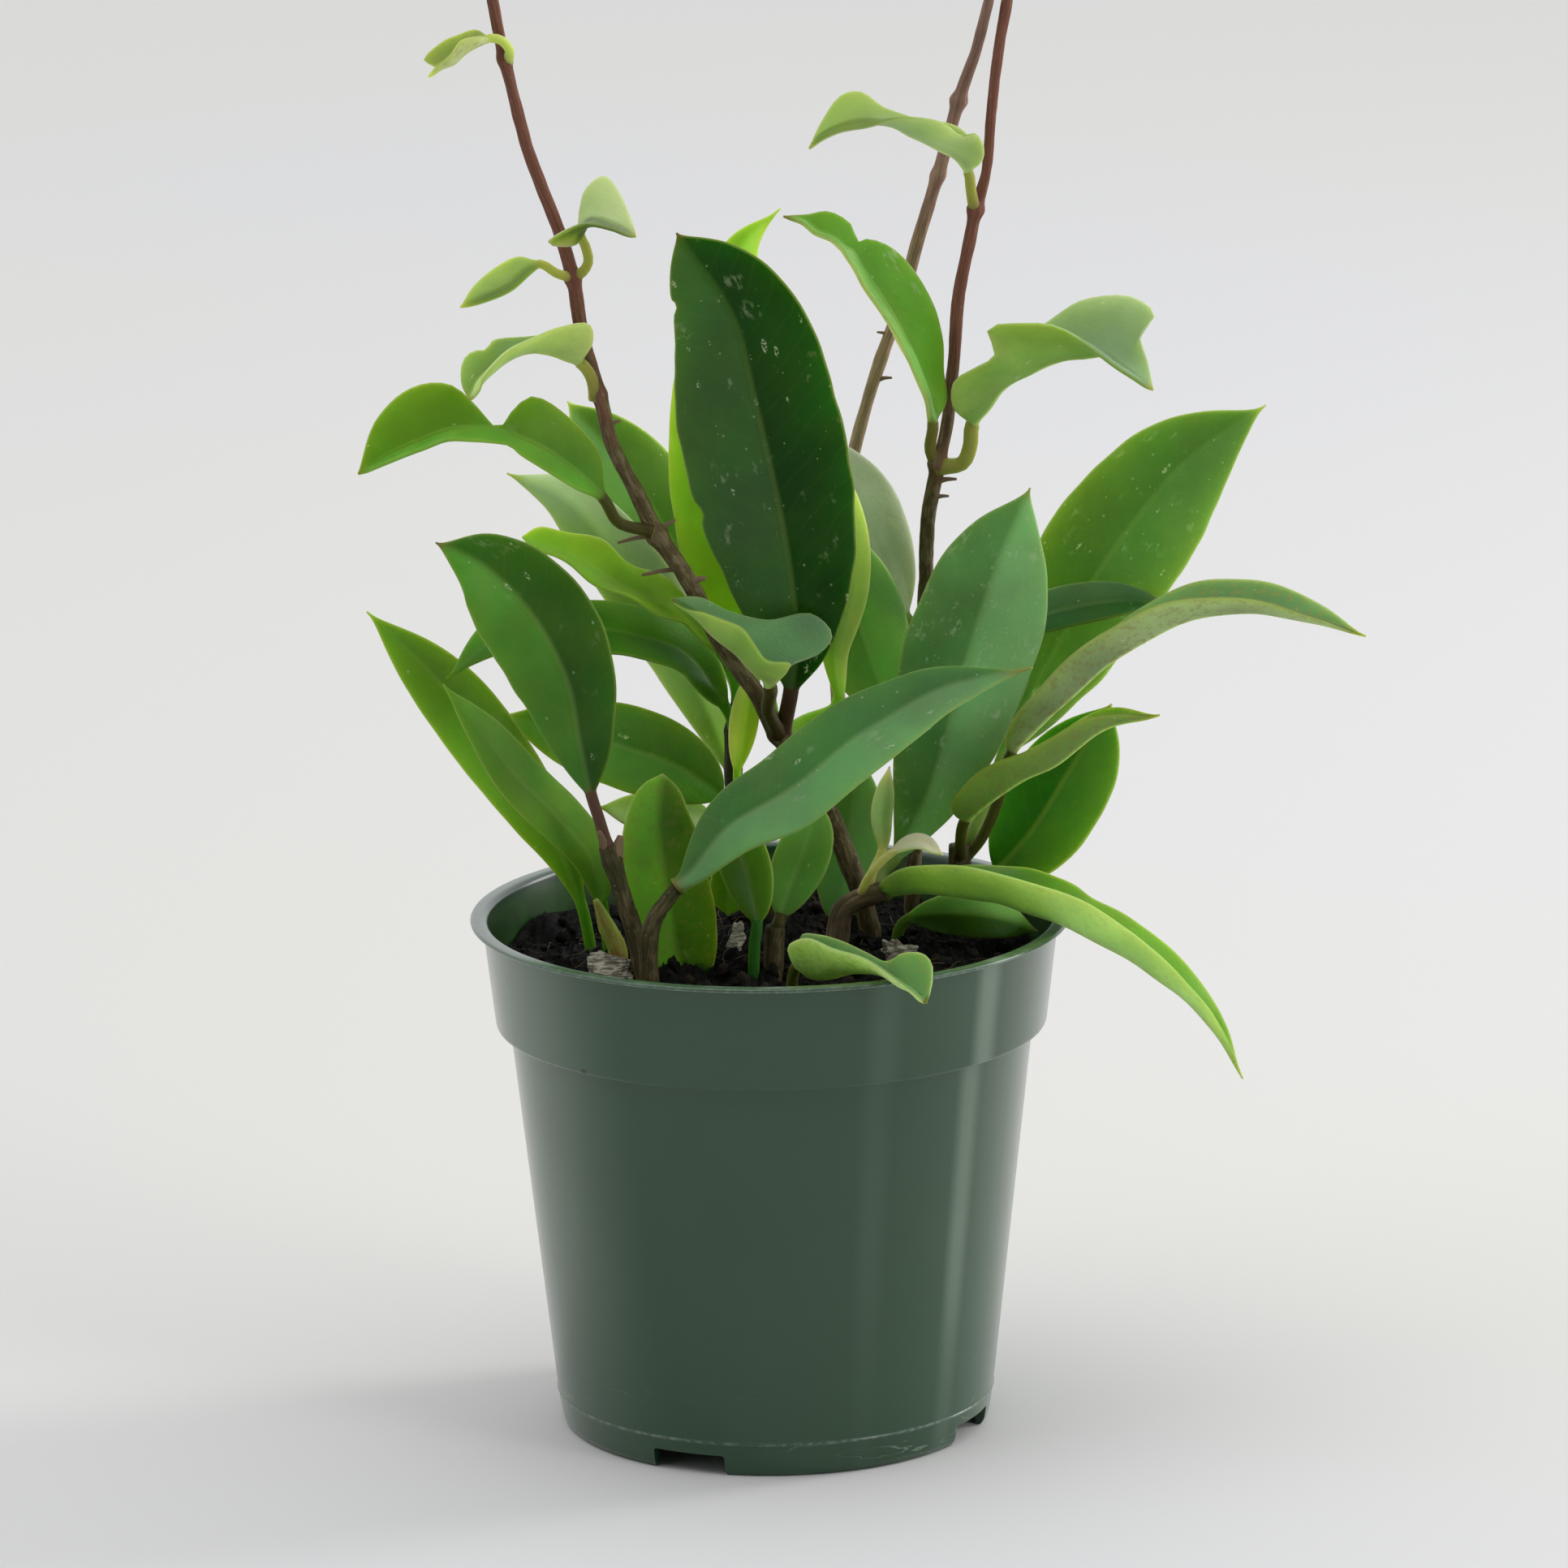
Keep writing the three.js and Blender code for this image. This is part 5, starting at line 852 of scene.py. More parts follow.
def soil_parts(s):
    """Points, faces and values of the soil: a plug with a crumbly top, and seeded loose crumbs and
    fibres sunk into it."""
    share = (SOIL_Z - COLLAR_FOOT_Z) / (POT_HEIGHT - COLLAR_FOOT_Z)
    rim = COLLAR_FOOT_RADIUS + (COLLAR_TOP_RADIUS - COLLAR_FOOT_RADIUS) * share - WALL - SOIL_GAP
    parts = []
    draw = np.random.default_rng(SOIL_SEED)

    def add(rings, crumb, fibre):
        flat = np.zeros(rings.shape[:2])
        parts.append(closed_rings(rings, {"crumb": flat + crumb, "fibre": flat + fibre}))

    def drawn_place(reach):
        r, a = reach * math.sqrt(draw.random()), 2 * math.pi * draw.random()
        return r * math.cos(a), r * math.sin(a)

    add(soil_plug(rim, s.crumble), 0, 0)
    for k in range(s.crumbs):
        x, y = drawn_place(rim - 2)
        size = 0.45 + 1.2 * draw.random() ** 2.5
        half = size * (0.6 + 0.5 * draw.random(3))
        rings = lump(half, CRUMB_SEED + k, 5, 8, square=0.8, rough=0.22, finest=0.8, longest=2.4)
        z = float(soil_height(x, y)) + 0.25 * size + 0.3
        rings = turned_by(rings, 360 * draw.random(3), (x, y, z))
        add(rings, 0.75 * draw.random() ** 2, 0)
    for k in range(s.fibres):
        x, y = drawn_place(rim - 7)
        heading = 2 * math.pi * draw.random()
        path = []
        for _ in range(4):
            path.append([x, y, float(soil_height(x, y)) + 0.6 + 0.9 * draw.random(), 0.09])
            heading += 1.1 * (draw.random() - 0.5)
            x, y = x + 1.7 * math.cos(heading), y + 1.7 * math.sin(heading)
        rings, _ = tube_rings(path, [], FIBRE_SEED + k, sides=5, step=0.8, rough=0.05)
        add(rings, 0, 0.3 + 0.7 * draw.random())
    return join_parts(parts)


def linear(hexa):
    """Linear colour of a screen colour written as #RRGGBB."""
    screen = np.array([int(hexa[k:k + 2], 16) for k in (1, 3, 5)]) / 255
    return tuple(np.where(screen <= 0.04045, screen / 12.92, ((screen + 0.055) / 1.055) ** 2.4))


def mark(name):
    """Linear colour of a mark."""
    return linear(MARKS[name])


class Nodes:
    """Places nodes in one tree; each call gives the socket that carries its result."""

    def __init__(self, tree):
        self.tree = tree

    def put(self, kind, sources=(), **settings):
        """New node of that kind with its settings and its inputs' sources, by number or name."""
        node = self.tree.nodes.new(kind)
        for key, value in settings.items():
            setattr(node, key, value)
        for key, source in dict(sources).items():
            self.join(source, node.inputs[key])
        return node

    def join(self, source, socket):
        if isinstance(source, bpy.types.NodeSocket):
            self.tree.links.new(source, socket)
        elif socket.type == "RGBA":
            socket.default_value = (*source[:3], 1)
        else:
            socket.default_value = source

    def value(self, name):
        return self.put("ShaderNodeAttribute", attribute_name=name).outputs["Fac"]

    def place(self):
        return self.put("ShaderNodeTexCoord").outputs["Object"]

    def split(self, vector):
        return self.put("ShaderNodeSeparateXYZ", {0: vector}).outputs

    def vector(self, *parts):
        return self.put("ShaderNodeCombineXYZ", enumerate(parts)).outputs[0]

    def stretch(self, vector, scale):
        return self.put("ShaderNodeVectorMath", {0: vector, 1: scale}, operation="MULTIPLY").outputs[0]

    def math(self, operation, a, b=0.0, c=0.0):
        return self.put("ShaderNodeMath", {0: a, 1: b, 2: c}, operation=operation).outputs[0]

    def times(self, a, b):
        return self.math("MULTIPLY", a, b)

    def greater(self, a, b):
        return self.math("MAXIMUM", a, b)

    def distance(self, a, b):
        return self.math("ABSOLUTE", self.math("SUBTRACT", a, b))

    def between(self, value, low, high, start=0.0, end=1.0):
        """start below low, end above high, and a smooth step from one to the other."""
        sources = enumerate((value, low, high, start, end))
        return self.put("ShaderNodeMapRange", sources, interpolation_type="SMOOTHSTEP").outputs[0]

    def near(self, value, middle, low, high, strength=1):
        """strength up to the distance low from middle, falling to 0 at the distance high."""
        return self.between(self.distance(value, middle), low, high, strength, 0)

    def blend(self, share, a, b):
        return self.put("ShaderNodeMix", {0: share, 6: a, 7: b}, data_type="RGBA").outputs[2]

    def brighten(self, colour, value, hue=0.5):
        sources = {"Color": colour, "Value": value, "Hue": hue}
        return self.put("ShaderNodeHueSaturation", sources).outputs[0]

    def noise(self, vector, scale, detail=2.0, roughness=0.5):
        sources = {"Vector": vector, "Scale": scale, "Detail": detail, "Roughness": roughness}
        return self.put("ShaderNodeTexNoise", sources).outputs[0]

    def cells(self, vector, scale):
        return self.put("ShaderNodeTexVoronoi", {"Vector": vector, "Scale": scale}).outputs

    def effect(self, name, **sources):
        """One of the shared effects, with its own values."""
        return self.put("ShaderNodeGroup", sources, node_tree=bpy.data.node_groups[name]).outputs

    def blotches(self, vector, scale, low, high, **others):
        return self.effect("Blotches", Vector=vector, Scale=scale, Low=low, High=high, **others)[0]

    def bump(self, height, distance, strength):
        sources = {"Distance": distance, "Strength": strength, "Height": height}
        return self.put("ShaderNodeBump", sources).outputs[0]


def new_effect(name, inputs, outputs, build):
    """Shader node group with these inputs, each name with its default or None for a vector, and
    these output names; build gets the nodes and the inputs' sockets and gives the outputs' sources."""
    if name in bpy.data.node_groups:
        return
    tree = bpy.data.node_groups.new(name, "ShaderNodeTree")
    for key, default in inputs.items():
        kind = "NodeSocketVector" if default is None else "NodeSocketFloat"
        socket = tree.interface.new_socket(name=key, in_out="INPUT", socket_type=kind)
        if default is not None:
            socket.default_value = default
    for key in outputs:
        tree.interface.new_socket(name=key, in_out="OUTPUT", socket_type="NodeSocketFloat")
    n = Nodes(tree)
    given = n.put("NodeGroupInput").outputs
    result = n.put("NodeGroupOutput").inputs
    for source, socket in zip(build(n, given), result):
        tree.links.new(source, socket)


def veins(n, given):
    """A midrib that fades towards the tip, and side veins that slant from it, Spacing apart."""
    along, across, reach = given["Along"], given["Across"], given["Reach"]
    away = n.math("ABSOLUTE", across)
    midrib = n.times(n.between(away, 0.15, 0.9, 1, 0), n.between(reach, 0.5, 1, 1, 0.3))
    bent = n.math("MULTIPLY_ADD", away, -0.85, along)
    drift = n.noise(n.vector(along, across, given["Seed"]), 0.12, 1)
    line = n.math("MULTIPLY_ADD", drift, 4.0, bent)
    step = n.math("FRACT", n.math("DIVIDE", line, given["Spacing"]))
    return midrib, n.between(n.distance(step, 0.5), 0.1, 0.0)


def flecks(n, given):
    """Pale specks: cells of which the share Amount hold a speck, each of its own size."""
    cells = n.cells(given["Vector"], given["Scale"])
    red, green, _ = n.split(cells["Color"])
    size = n.math("MULTIPLY_ADD", red, 0.22, 0.05)
    speck = n.between(n.math("SUBTRACT", cells["Distance"], size), -0.04, 0.04, 1, 0)
    return (n.times(speck, n.math("LESS_THAN", green, given["Amount"])),)


def blotches(n, given):
    """Soft patches where a noise passes from Low to High."""
    cloud = n.noise(given["Vector"], given["Scale"], given["Detail"], 0.55)
    return (n.between(cloud, given["Low"], given["High"]),)


def scuffs(n, given):
    """Short thin lines where a noise crosses its middle, kept only in some patches."""
    line = n.near(n.noise(given["Vector"], given["Scale"], 3), 0.5, 0.0, given["Width"])
    patch = n.between(n.noise(given["Vector"], n.times(given["Scale"], 0.37), 2), 0.5, 0.68)
    return (n.times(line, patch),)


def grain(n, given):
    """Fine relief of two sizes of noise."""
    fine = n.noise(given["Vector"], n.times(given["Scale"], 3.1), 2)
    return (n.math("MULTIPLY_ADD", fine, 0.5, n.noise(given["Vector"], given["Scale"], 2)),)


def make_effects():
    """The effects that several finishes share."""
    spread = {"Vector": None, "Scale": 1.0}
    strip = {"Along": 0.0, "Across": 0.0, "Reach": 0.0, "Seed": 0.0, "Spacing": 5.0}
    new_effect("Veins", strip, ("Midrib", "Side veins"), veins)
    new_effect("Pale flecks", {**spread, "Amount": 0.3}, ("Mask",), flecks)
    new_effect("Blotches", {**spread, "Low": 0.45, "High": 0.6, "Detail": 3.0}, ("Mask",), blotches)
    new_effect("Scuffs", {**spread, "Width": 0.02}, ("Mask",), scuffs)
    new_effect("Fine grain", spread, ("Height",), grain)


def new_finish(name):
    """Material of that name, its nodes and its shader's inputs."""
    material = bpy.data.materials.new(name)
    material.use_nodes = True
    shader = material.node_tree.nodes["Principled BSDF"]
    return material, Nodes(material.node_tree), shader.inputs


def silver_share(n, lay, share):
    """Silvery marks on a leaf: torn specks, dust, and splashes that keep to some patches."""
    long_lay = n.stretch(lay, (0.4, 1, 1))
    specks = n.effect("Pale flecks", Vector=long_lay, Scale=0.5, Amount=share * 0.4)[0]
    dust_lay = n.stretch(lay, (0.8, 1, 1))
    dust = n.effect("Pale flecks", Vector=dust_lay, Scale=1.1, Amount=share * 0.25)[0]
    torn = n.blotches(lay, 2.2, 0.46, 0.56)
    patch = n.blotches(lay, 0.16, 0.62 - 0.13 * share, 0.72)
    splash = n.blotches(n.stretch(lay, (0.45, 1, 1)), 0.9, 0.5, 0.6)
    marks = n.times(n.times(patch, splash), share)
    marks = n.greater(n.times(specks, torn), marks)
    return n.greater(n.times(dust, 0.45), marks)


def leaf_finish(row, seed, tones):
    """Waxy leaf: two sides of their own tone, painted light and shade as lighter and darker halves
    with a painted glare on the lighter ones, clouds, veins, silvery flecks, brown blush, a pale
    margin and a petiole of another tone."""
    upper, lower, petiole = (getattr(tones, name) for name in row["tones"])
    material, n, shader = new_finish(row["name"] + " skin")
    along, across = n.value("along_mm"), n.value("across_mm")
    top, reach = n.value("upper"), n.value("reach")
    lay = n.vector(along, across, n.math("MULTIPLY_ADD", top, 31.7, seed * 17.3))
    cloud = n.noise(lay, 0.06, 3)
    body = n.blend(top, lower, upper)
    # Painted light and shade: the row's halves make each half of the blade lighter or darker
    half = n.between(across, -1.2, 1.2, *row["halves"])
    light = n.times(half, n.between(cloud, 0.3, 0.7, 0.8, 1.22))
    warm = n.between(n.noise(lay, 0.1, 2), 0.3, 0.7, 0.49, 0.508)
    body = n.brighten(body, light, warm)
    # Painted glare: a pale sheen on the halves made lighter than their tone
    body = n.blend(n.between(half, 1, 2, 0, 0.12), body, mark("glare"))
    lines = n.effect("Veins", Along=along, Across=across, Reach=reach, Seed=seed)
    pale = n.blend(0.5, body, mark("vein"))
    shown = n.between(top, 0, 1, 0.6, 0.16)
    body = n.blend(n.times(lines["Midrib"], shown), body, pale)
    body = n.blend(n.times(lines["Side veins"], 0.016), body, pale)
    silver = silver_share(n, lay, row["flecks"])
    body = n.blend(n.times(silver, 0.55), body, mark("silver"))
    rusty = n.blotches(lay, 0.8, 0.48, 0.66, Detail=8)
    body = n.blend(n.times(rusty, row["blush"]), body, mark("blush"))
    rim = n.between(n.value("margin_mm"), 0.1, 0.6, 1, 0)
    rim_tone = n.blend(row["blush"], mark("rim"), mark("brown rim"))
    body = n.blend(n.times(rim, 0.25), body, rim_tone)
    body = n.blend(n.between(reach, 0.985, 1.0, 0, 0.6), body, mark("tip"))
    body = n.blend(n.between(n.value("blade"), 0.1, 0.75), petiole, body)
    n.join(body, shader["Base Color"])
    gloss = n.math("MULTIPLY_ADD", n.noise(lay, 0.3, 2), 0.16, n.between(top, 0, 1, 0.42, 0.32))
    n.join(n.math("MULTIPLY_ADD", silver, 0.2, gloss), shader["Roughness"])
    shader["Specular IOR Level"].default_value = 0.12
    shader["Subsurface Weight"].default_value = GLOW[row["colour"]]
    shader["Subsurface Radius"].default_value = (0.75, 1.0, 0.3)
    shader["Subsurface Scale"].default_value = 0.008
    fine = n.effect("Fine grain", Vector=lay, Scale=1.4)[0]
    relief = n.math("MULTIPLY_ADD", lines["Side veins"], -0.1, fine)
    n.join(n.bump(relief, 0.00025, 0.35), shader["Normal"])
    return material


def stem_finish(name, young, old, old_below):
    """Woody stem: streaks along it, patches, pale pores, older and scaly bark below a height."""
    material, n, shader = new_finish(name)
    along = n.value("along_mm")
    lay = n.vector(n.value("turn_x"), n.value("turn_y"), n.times(along, 0.12))
    z = n.split(n.place())[2]
    patch = n.blotches(n.stretch(lay, (0.6, 0.6, 1)), 1.0, 0.4, 0.62)
    height = n.math("MULTIPLY_ADD", patch, 0.02, z)
    scales = n.blotches(n.stretch(lay, (1.6, 1.6, 2.2)), 1.0, 0.46, 0.58)
    scaly = n.blend(n.times(scales, 0.45), old, mark("scale"))
    body = n.blend(n.between(height, old_below - 0.01, old_below + 0.03), scaly, young)
    streak = n.blotches(n.stretch(lay, (3, 3, 1)), 1.0, 0.42, 0.62)
    body = n.brighten(body, n.between(streak, 0, 1, 0.86, 1.14))
    round_lay = n.vector(n.value("turn_x"), n.value("turn_y"), n.times(along, 0.5))
    pores = n.effect("Pale flecks", Vector=round_lay, Scale=2.2, Amount=0.25)[0]
    body = n.blend(n.times(pores, 0.4), body, mark("pore"))
    body = n.blend(n.value("nub"), body, mark("root"))
    n.join(body, shader["Base Color"])
    n.join(n.between(streak, 0, 1, 0.75, 0.55), shader["Roughness"])
    shader["Specular IOR Level"].default_value = 0.2
    fine = n.effect("Fine grain", Vector=lay, Scale=6)[0]
    n.join(n.bump(n.math("MULTIPLY_ADD", streak, 0.35, fine), 0.0003, 0.6), shader["Normal"])
    return material


def soil_finish(tones):
    """Dark peat: near black, with browner crumbs and pale fibres."""
    material, n, shader = new_finish("Peat")
    place = n.place()
    cloud = n.blotches(place, 420, 0.4, 0.65)
    body = n.blend(cloud, tones.dark, tones.light)
    body = n.blend(n.value("crumb"), body, mark("crumb"))
    body = n.blend(n.value("fibre"), body, mark("fibre"))
    n.join(body, shader["Base Color"])
    shader["Specular IOR Level"].default_value = 0.2
    n.join(n.between(cloud, 0, 1, 0.7, 0.95), shader["Roughness"])
    fine = n.effect("Fine grain", Vector=place, Scale=1500)[0]
    n.join(n.bump(fine, 0.0006, 0.8), shader["Normal"])
    return material


def bark_finish(name, tone, dark):
    """Bark chip: fibrous layers in stripes, pale and dark, with dark pits."""
    material, n, shader = new_finish(name)
    place = n.place()
    layers = n.blotches(n.stretch(place, (0.5, 1, 3)), 900, 0.38, 0.6)
    body = n.blend(layers, dark, tone)
    pits = n.blotches(place, 1600, 0.55, 0.7)
    body = n.blend(n.times(pits, 0.6), body, dark)
    n.join(body, shader["Base Color"])
    shader["Roughness"].default_value = 0.85
    n.join(n.bump(layers, 0.0005, 0.8), shader["Normal"])
    return material


def pot_finish(tones):
    """Moulded plastic with painted reflections as paler upright streaks, scuffs on the lip, the line
    under it and the foot's ring, scratches low on the wall, a nick under the collar, and on the
    inside painted light as a lighter, greener tone, with darker blotches towards the soil."""
    material, n, shader = new_finish("Pot plastic")
    place = n.place()
    x, y, z = n.split(place)
    radius = n.math("SQRT", n.math("ADD", n.times(x, x), n.times(y, y)))

    def at_height(low, high, start=0.0, end=1.0):
        """As between(), for heights in millimetres."""
        return n.between(z, low * MM, high * MM, start, end)

    speck = n.noise(place, 800, 3)
    lip = n.times(at_height(POT_HEIGHT - 1, POT_HEIGHT - 0.4),
                  n.between(radius, (COLLAR_TOP_RADIUS - 0.5) * MM, (COLLAR_TOP_RADIUS + 0.3) * MM))
    # Wear on the lip, the line under it, the foot's ring and low scratches; the painted reflections join
    # this mask below
    wear_and_sheen = n.times(lip, n.between(speck, 0.42, 0.7, 0.08, 0.2))
    line = n.times(n.near(z, (POT_HEIGHT - 0.7) * MM, 0.0, 0.0003),
                   n.between(radius, (LIP_RADIUS - 0.6) * MM, (LIP_RADIUS - 0.2) * MM))
    wear_and_sheen = n.greater(wear_and_sheen, n.times(line, n.between(speck, 0.4, 0.65, 0.25, 0.55)))
    ring = n.near(z, (BODY_FOOT_Z + 0.2) * MM, 0.0, 0.0005)
    wear_and_sheen = n.greater(wear_and_sheen, n.times(ring, n.between(speck, 0.42, 0.65, 0.06, 0.3)))
    low = at_height(6, 20, 1, 0)
    scratch = n.effect("Scuffs", Vector=n.stretch(place, (1, 1, 6)), Scale=60, Width=0.012)[0]
    wear_and_sheen = n.greater(wear_and_sheen, n.times(n.times(scratch, low), 0.4))
    # Painted reflections: paler upright streaks round the pot, stronger on the collar and fading towards
    # the foot
    turn = n.math("ARCTAN2", y, x)
    stronger = at_height(COLLAR_FOOT_Z, COLLAR_FOOT_Z + 1, 1, 1.35)
    stronger = n.times(stronger, at_height(10, 45, 0.3, 1))
    for middle, half, strength in SHEENS:
        wear_and_sheen = n.greater(wear_and_sheen, n.times(n.near(turn, middle, 0.01, half, strength), stronger))
    smudge = n.between(n.noise(place, 24, 4), 0.3, 0.7, 0.94, 1.06)
    body = n.brighten(n.blend(wear_and_sheen, tones.body, tones.wear_and_sheen), smudge)
    nick = n.near(turn, NICK_ANGLE, 0.011, 0.015)
    nick = n.times(nick, n.near(z, (COLLAR_FOOT_Z + NICK_RISE) * MM, 0.0003, 0.0005))
    body = n.blend(n.times(nick, 0.85), body, mark("nick"))
    lean = (COLLAR_TOP_RADIUS - COLLAR_FOOT_RADIUS) / (POT_HEIGHT - COLLAR_FOOT_Z)
    rise = n.math("SUBTRACT", z, COLLAR_FOOT_Z * MM)
    foot_radius = n.math("MULTIPLY_ADD", rise, -lean, radius)
    inner = n.between(foot_radius, (COLLAR_FOOT_RADIUS - 0.7) * MM, (COLLAR_FOOT_RADIUS - 0.3) * MM, 1, 0)
    inner = n.times(inner, at_height(96.5, 98, 1, 0))
    inside = n.times(inner, at_height(COLLAR_FOOT_Z + 1, COLLAR_FOOT_Z + 2))
    # Painted light: a lighter, greener tone on the collar's inner wall
    body = n.blend(n.times(inside, 0.55), body, mark("inside"))
    # Darker blotches on the inner wall, strongest towards the soil
    dust = n.blotches(place, 160, 0.42, 0.62)
    dark_inner_blotches = n.times(n.times(inside, dust), at_height(90, 97.5, 0.5, 0.15))
    body = n.blend(dark_inner_blotches, body, mark("dark_inner_blotches"))
    n.join(body, shader["Base Color"])
    n.join(n.math("MULTIPLY_ADD", wear_and_sheen, 0.3, 0.3), shader["Roughness"])
    shader["Specular IOR Level"].default_value = 0.12
    shader["Coat Weight"].default_value = 1
    shader["Coat Roughness"].default_value = 0.24
    fine = n.effect("Fine grain", Vector=place, Scale=700)[0]
    n.join(n.bump(fine, 0.0002, 0.03), shader["Normal"])
    return material


def cloth_finish():
    """Dark cloth behind the camera, which keeps its side of the studio dark in the plant's gloss."""
    material, _, shader = new_finish("Dark cloth")
    shader["Base Color"].default_value = (0.02, 0.02, 0.02, 1)
    shader["Roughness"].default_value = 1
    return material


def floor_finish(tones):
    """Plain pale floor with a barely seen change of tone."""
    material, n, shader = new_finish("Floor")
    cloud = n.noise(n.place(), 1.4, 1)
    n.join(n.blend(n.between(cloud, 0.35, 0.65), tones.floor, tones.floor_cool), shader["Base Color"])
    shader["Roughness"].default_value = 0.85
    return material


def colour(name, about, screen):
    return bpy.props.FloatVectorProperty(
        name=name, description=about, subtype="COLOR", size=3, min=0, max=1, default=linear(screen))


def amount(name, about, default, unit="NONE", **limits):
    return bpy.props.FloatProperty(name=name, description=about, default=default, unit=unit, **limits)


def length(name, about, default):
    return amount(name, about, default, min=0)


def number(name, about, default, **limits):
    return bpy.props.IntProperty(name=name, description=about, default=default, **limits)


class HoyaTones(bpy.types.PropertyGroup):
    """Tones that the leaves are put together from."""
    __annotations__ = {name: colour(name.title(), f"Leaf tone {name}", screen)
                       for name, screen in TONES.items()}


class HoyaLeaves(bpy.types.PropertyGroup):
    """Sizes of the leaves' surface, in millimetres."""
    step: length("Step", "Distance between the rings of points along a leaf, in mm", 1.15)
    uneven: length("Unevenness", "Height of a leaf's slow unevenness, in mm", 0.22)
    rib: length("Rib", "Depth of the groove along the midrib, in mm", 0.22)


class HoyaStems(bpy.types.PropertyGroup):
    """Sizes and colours of the vines and older stems."""
    step: length("Step", "Distance between the rings of points along a stem, in mm", 0.7)
    rough: length("Roughness", "Unevenness of a stem, as a share of its radius", 0.045)
    slender: length("Slenderness", "Radius of the vines, as a share of the solid's", 0.88)
    knobs: length("Knobs", "Swelling of a vine's joints, as a share of the solid's", 1.5)
    rose: colour("Young vine at the back", "Rose-brown bark high on the vine at the back", "#8F6F60")
    young: colour("Young vine", "Red-brown bark of the young vines", "#7A4F3E")
    tan: colour("Middle-aged vine", "Grey-brown bark of the vine at the back", "#A68B6E")
    old: colour("Old vine", "Olive-brown bark low on the vines", "#554A2C")
    stem: colour("Stem", "Bark of the short old stems", "#3A3A1C")
    green: colour("Sprout", "Tip of the new sprout", "#A9C452")
    rust: colour("Sprout's foot", "Reddish foot of the new sprout", "#A0703A")


class HoyaSoil(bpy.types.PropertyGroup):
    """Sizes and colours of the soil and the bark chips on it."""
    crumble: length("Crumbs' relief", "Height of the crumbs in the soil's surface, in mm", 2.0)
    crumbs: number("Loose crumbs", "Loose crumbs on the soil", 420)
    fibres: number("Fibres", "Pale fibres on the soil", 70)
    dark: colour("Dark", "Wet, near-black peat", "#050604")
    light: colour("Light", "Drier peat", "#0F0E09")
    chip: colour("Chip", "Face of a bark chip", "#B9B4A2")
    chip_dark: colour("Chip's layers", "Darker layers of a bark chip", "#77705E")


class HoyaPot(bpy.types.PropertyGroup):
    """Colours and roundings of the pot."""
    sides: number("Sides", "Sides of the round pot", 240, min=24)
    bend: length("Bend", "Greatest rounding of the pot's corners, in mm", 0.45)
    body: colour("Plastic", "Colour of the pot", "#21442A")
    # Also the tone of the painted reflections, the pot's paler upright streaks
    wear_and_sheen: colour("Worn plastic", "Paler tone of scuffs and edges", "#9FB09F")


class HoyaStage(bpy.types.PropertyGroup):
    """Floor, light and camera."""
    floor: colour("Floor", "Warm tone of the floor", "#D8D6D2")
    floor_cool: colour("Floor, cooler", "Cool tone of the floor", "#D7D6D7")
    sky: colour("Surroundings", "Light from all round", "#E4E6E8")
    sky_power: length("Surroundings' power", "Strength of the light from all round", 1.12)
    key_power: amount("Overhead light", "Its power", 14, "POWER")
    strip_power: amount("Strip light", "Its power", 14, "POWER")
    fill_power: amount("Side light", "Its power", 5, "POWER")
    back_power: amount("Backdrop light", "Its power", 4, "POWER")
    camera_far: amount("Camera's distance", "In front of the pot's axis", 1.80203, "LENGTH")
    camera_high: amount("Camera's height", "Above the floor", 0.56467, "LENGTH")
    pitch: amount("Pitch", "Downwards", 0.2397, "ROTATION")
    yaw: amount("Yaw", "To the right", 0.0016, "ROTATION")
    roll: amount("Roll", "About its axis", -0.0116, "ROTATION")
    lens: amount("Lens", "Focal length", 225.12, "CAMERA")


GROUPS = {"leaves": HoyaLeaves, "stems": HoyaStems, "soil": HoyaSoil, "pot": HoyaPot,
          "stage": HoyaStage, "tones": HoyaTones}


class HoyaSettings(bpy.types.PropertyGroup):
    """Everything that can be changed before the plant is built."""
    __annotations__ = {key: bpy.props.PointerProperty(type=group, name=key.title())
                       for key, group in GROUPS.items()}


class Builder:
    """What the operators share: each builds its pieces from the scene's settings."""

    def execute(self, context):
        make_effects()
        self.build(context, context.scene.hoya)
        return {"FINISHED"}


class HOYA_OT_pot(Builder, bpy.types.Operator):
    """Turns the pot, cuts its slots and drain holes and gives it its plastic"""
    bl_idname = "hoya.pot"
    bl_label = "Pot"

    def build(self, context, settings):
        s = settings.pot
        points, faces = turned_body(rounded(pot_profile(), s.bend), s.sides)
        body = new_object("pot_whole", make_mesh("pot_whole", points, outward(points, faces)))
        cutters = []
        for k, (points, faces) in enumerate(pot_cuts()):
            cutter = new_object(f"pot_cut_{k}", make_mesh(f"pot_cut_{k}", points, faces))
            cut = body.modifiers.new(cutter.name, "BOOLEAN")
            cut.operation = "DIFFERENCE"
            cut.solver = "EXACT"
            cut.object = cutter
            cutters.append(cutter)
        context.view_layer.update()
        mesh = bpy.data.meshes.new_from_object(body.evaluated_get(context.evaluated_depsgraph_get()))
        for obj in [body, *cutters]:
            bpy.data.objects.remove(obj)
        mesh.name = "pot_shell"
        mesh.shade_smooth()
        mesh.set_sharp_from_angle(angle=math.radians(40))
        piece(mesh, pot_finish(s), "pot", "pot")


class HOYA_OT_soil(Builder, bpy.types.Operator):
    """Fills the pot with peat, with loose crumbs and pale fibres on top"""
    bl_idname = "hoya.soil"
    bl_label = "Soil"

    def build(self, context, settings):
        mesh = make_mesh("soil_peat", *soil_parts(settings.soil))
        piece(mesh, soil_finish(settings.soil), "soil", "soil")


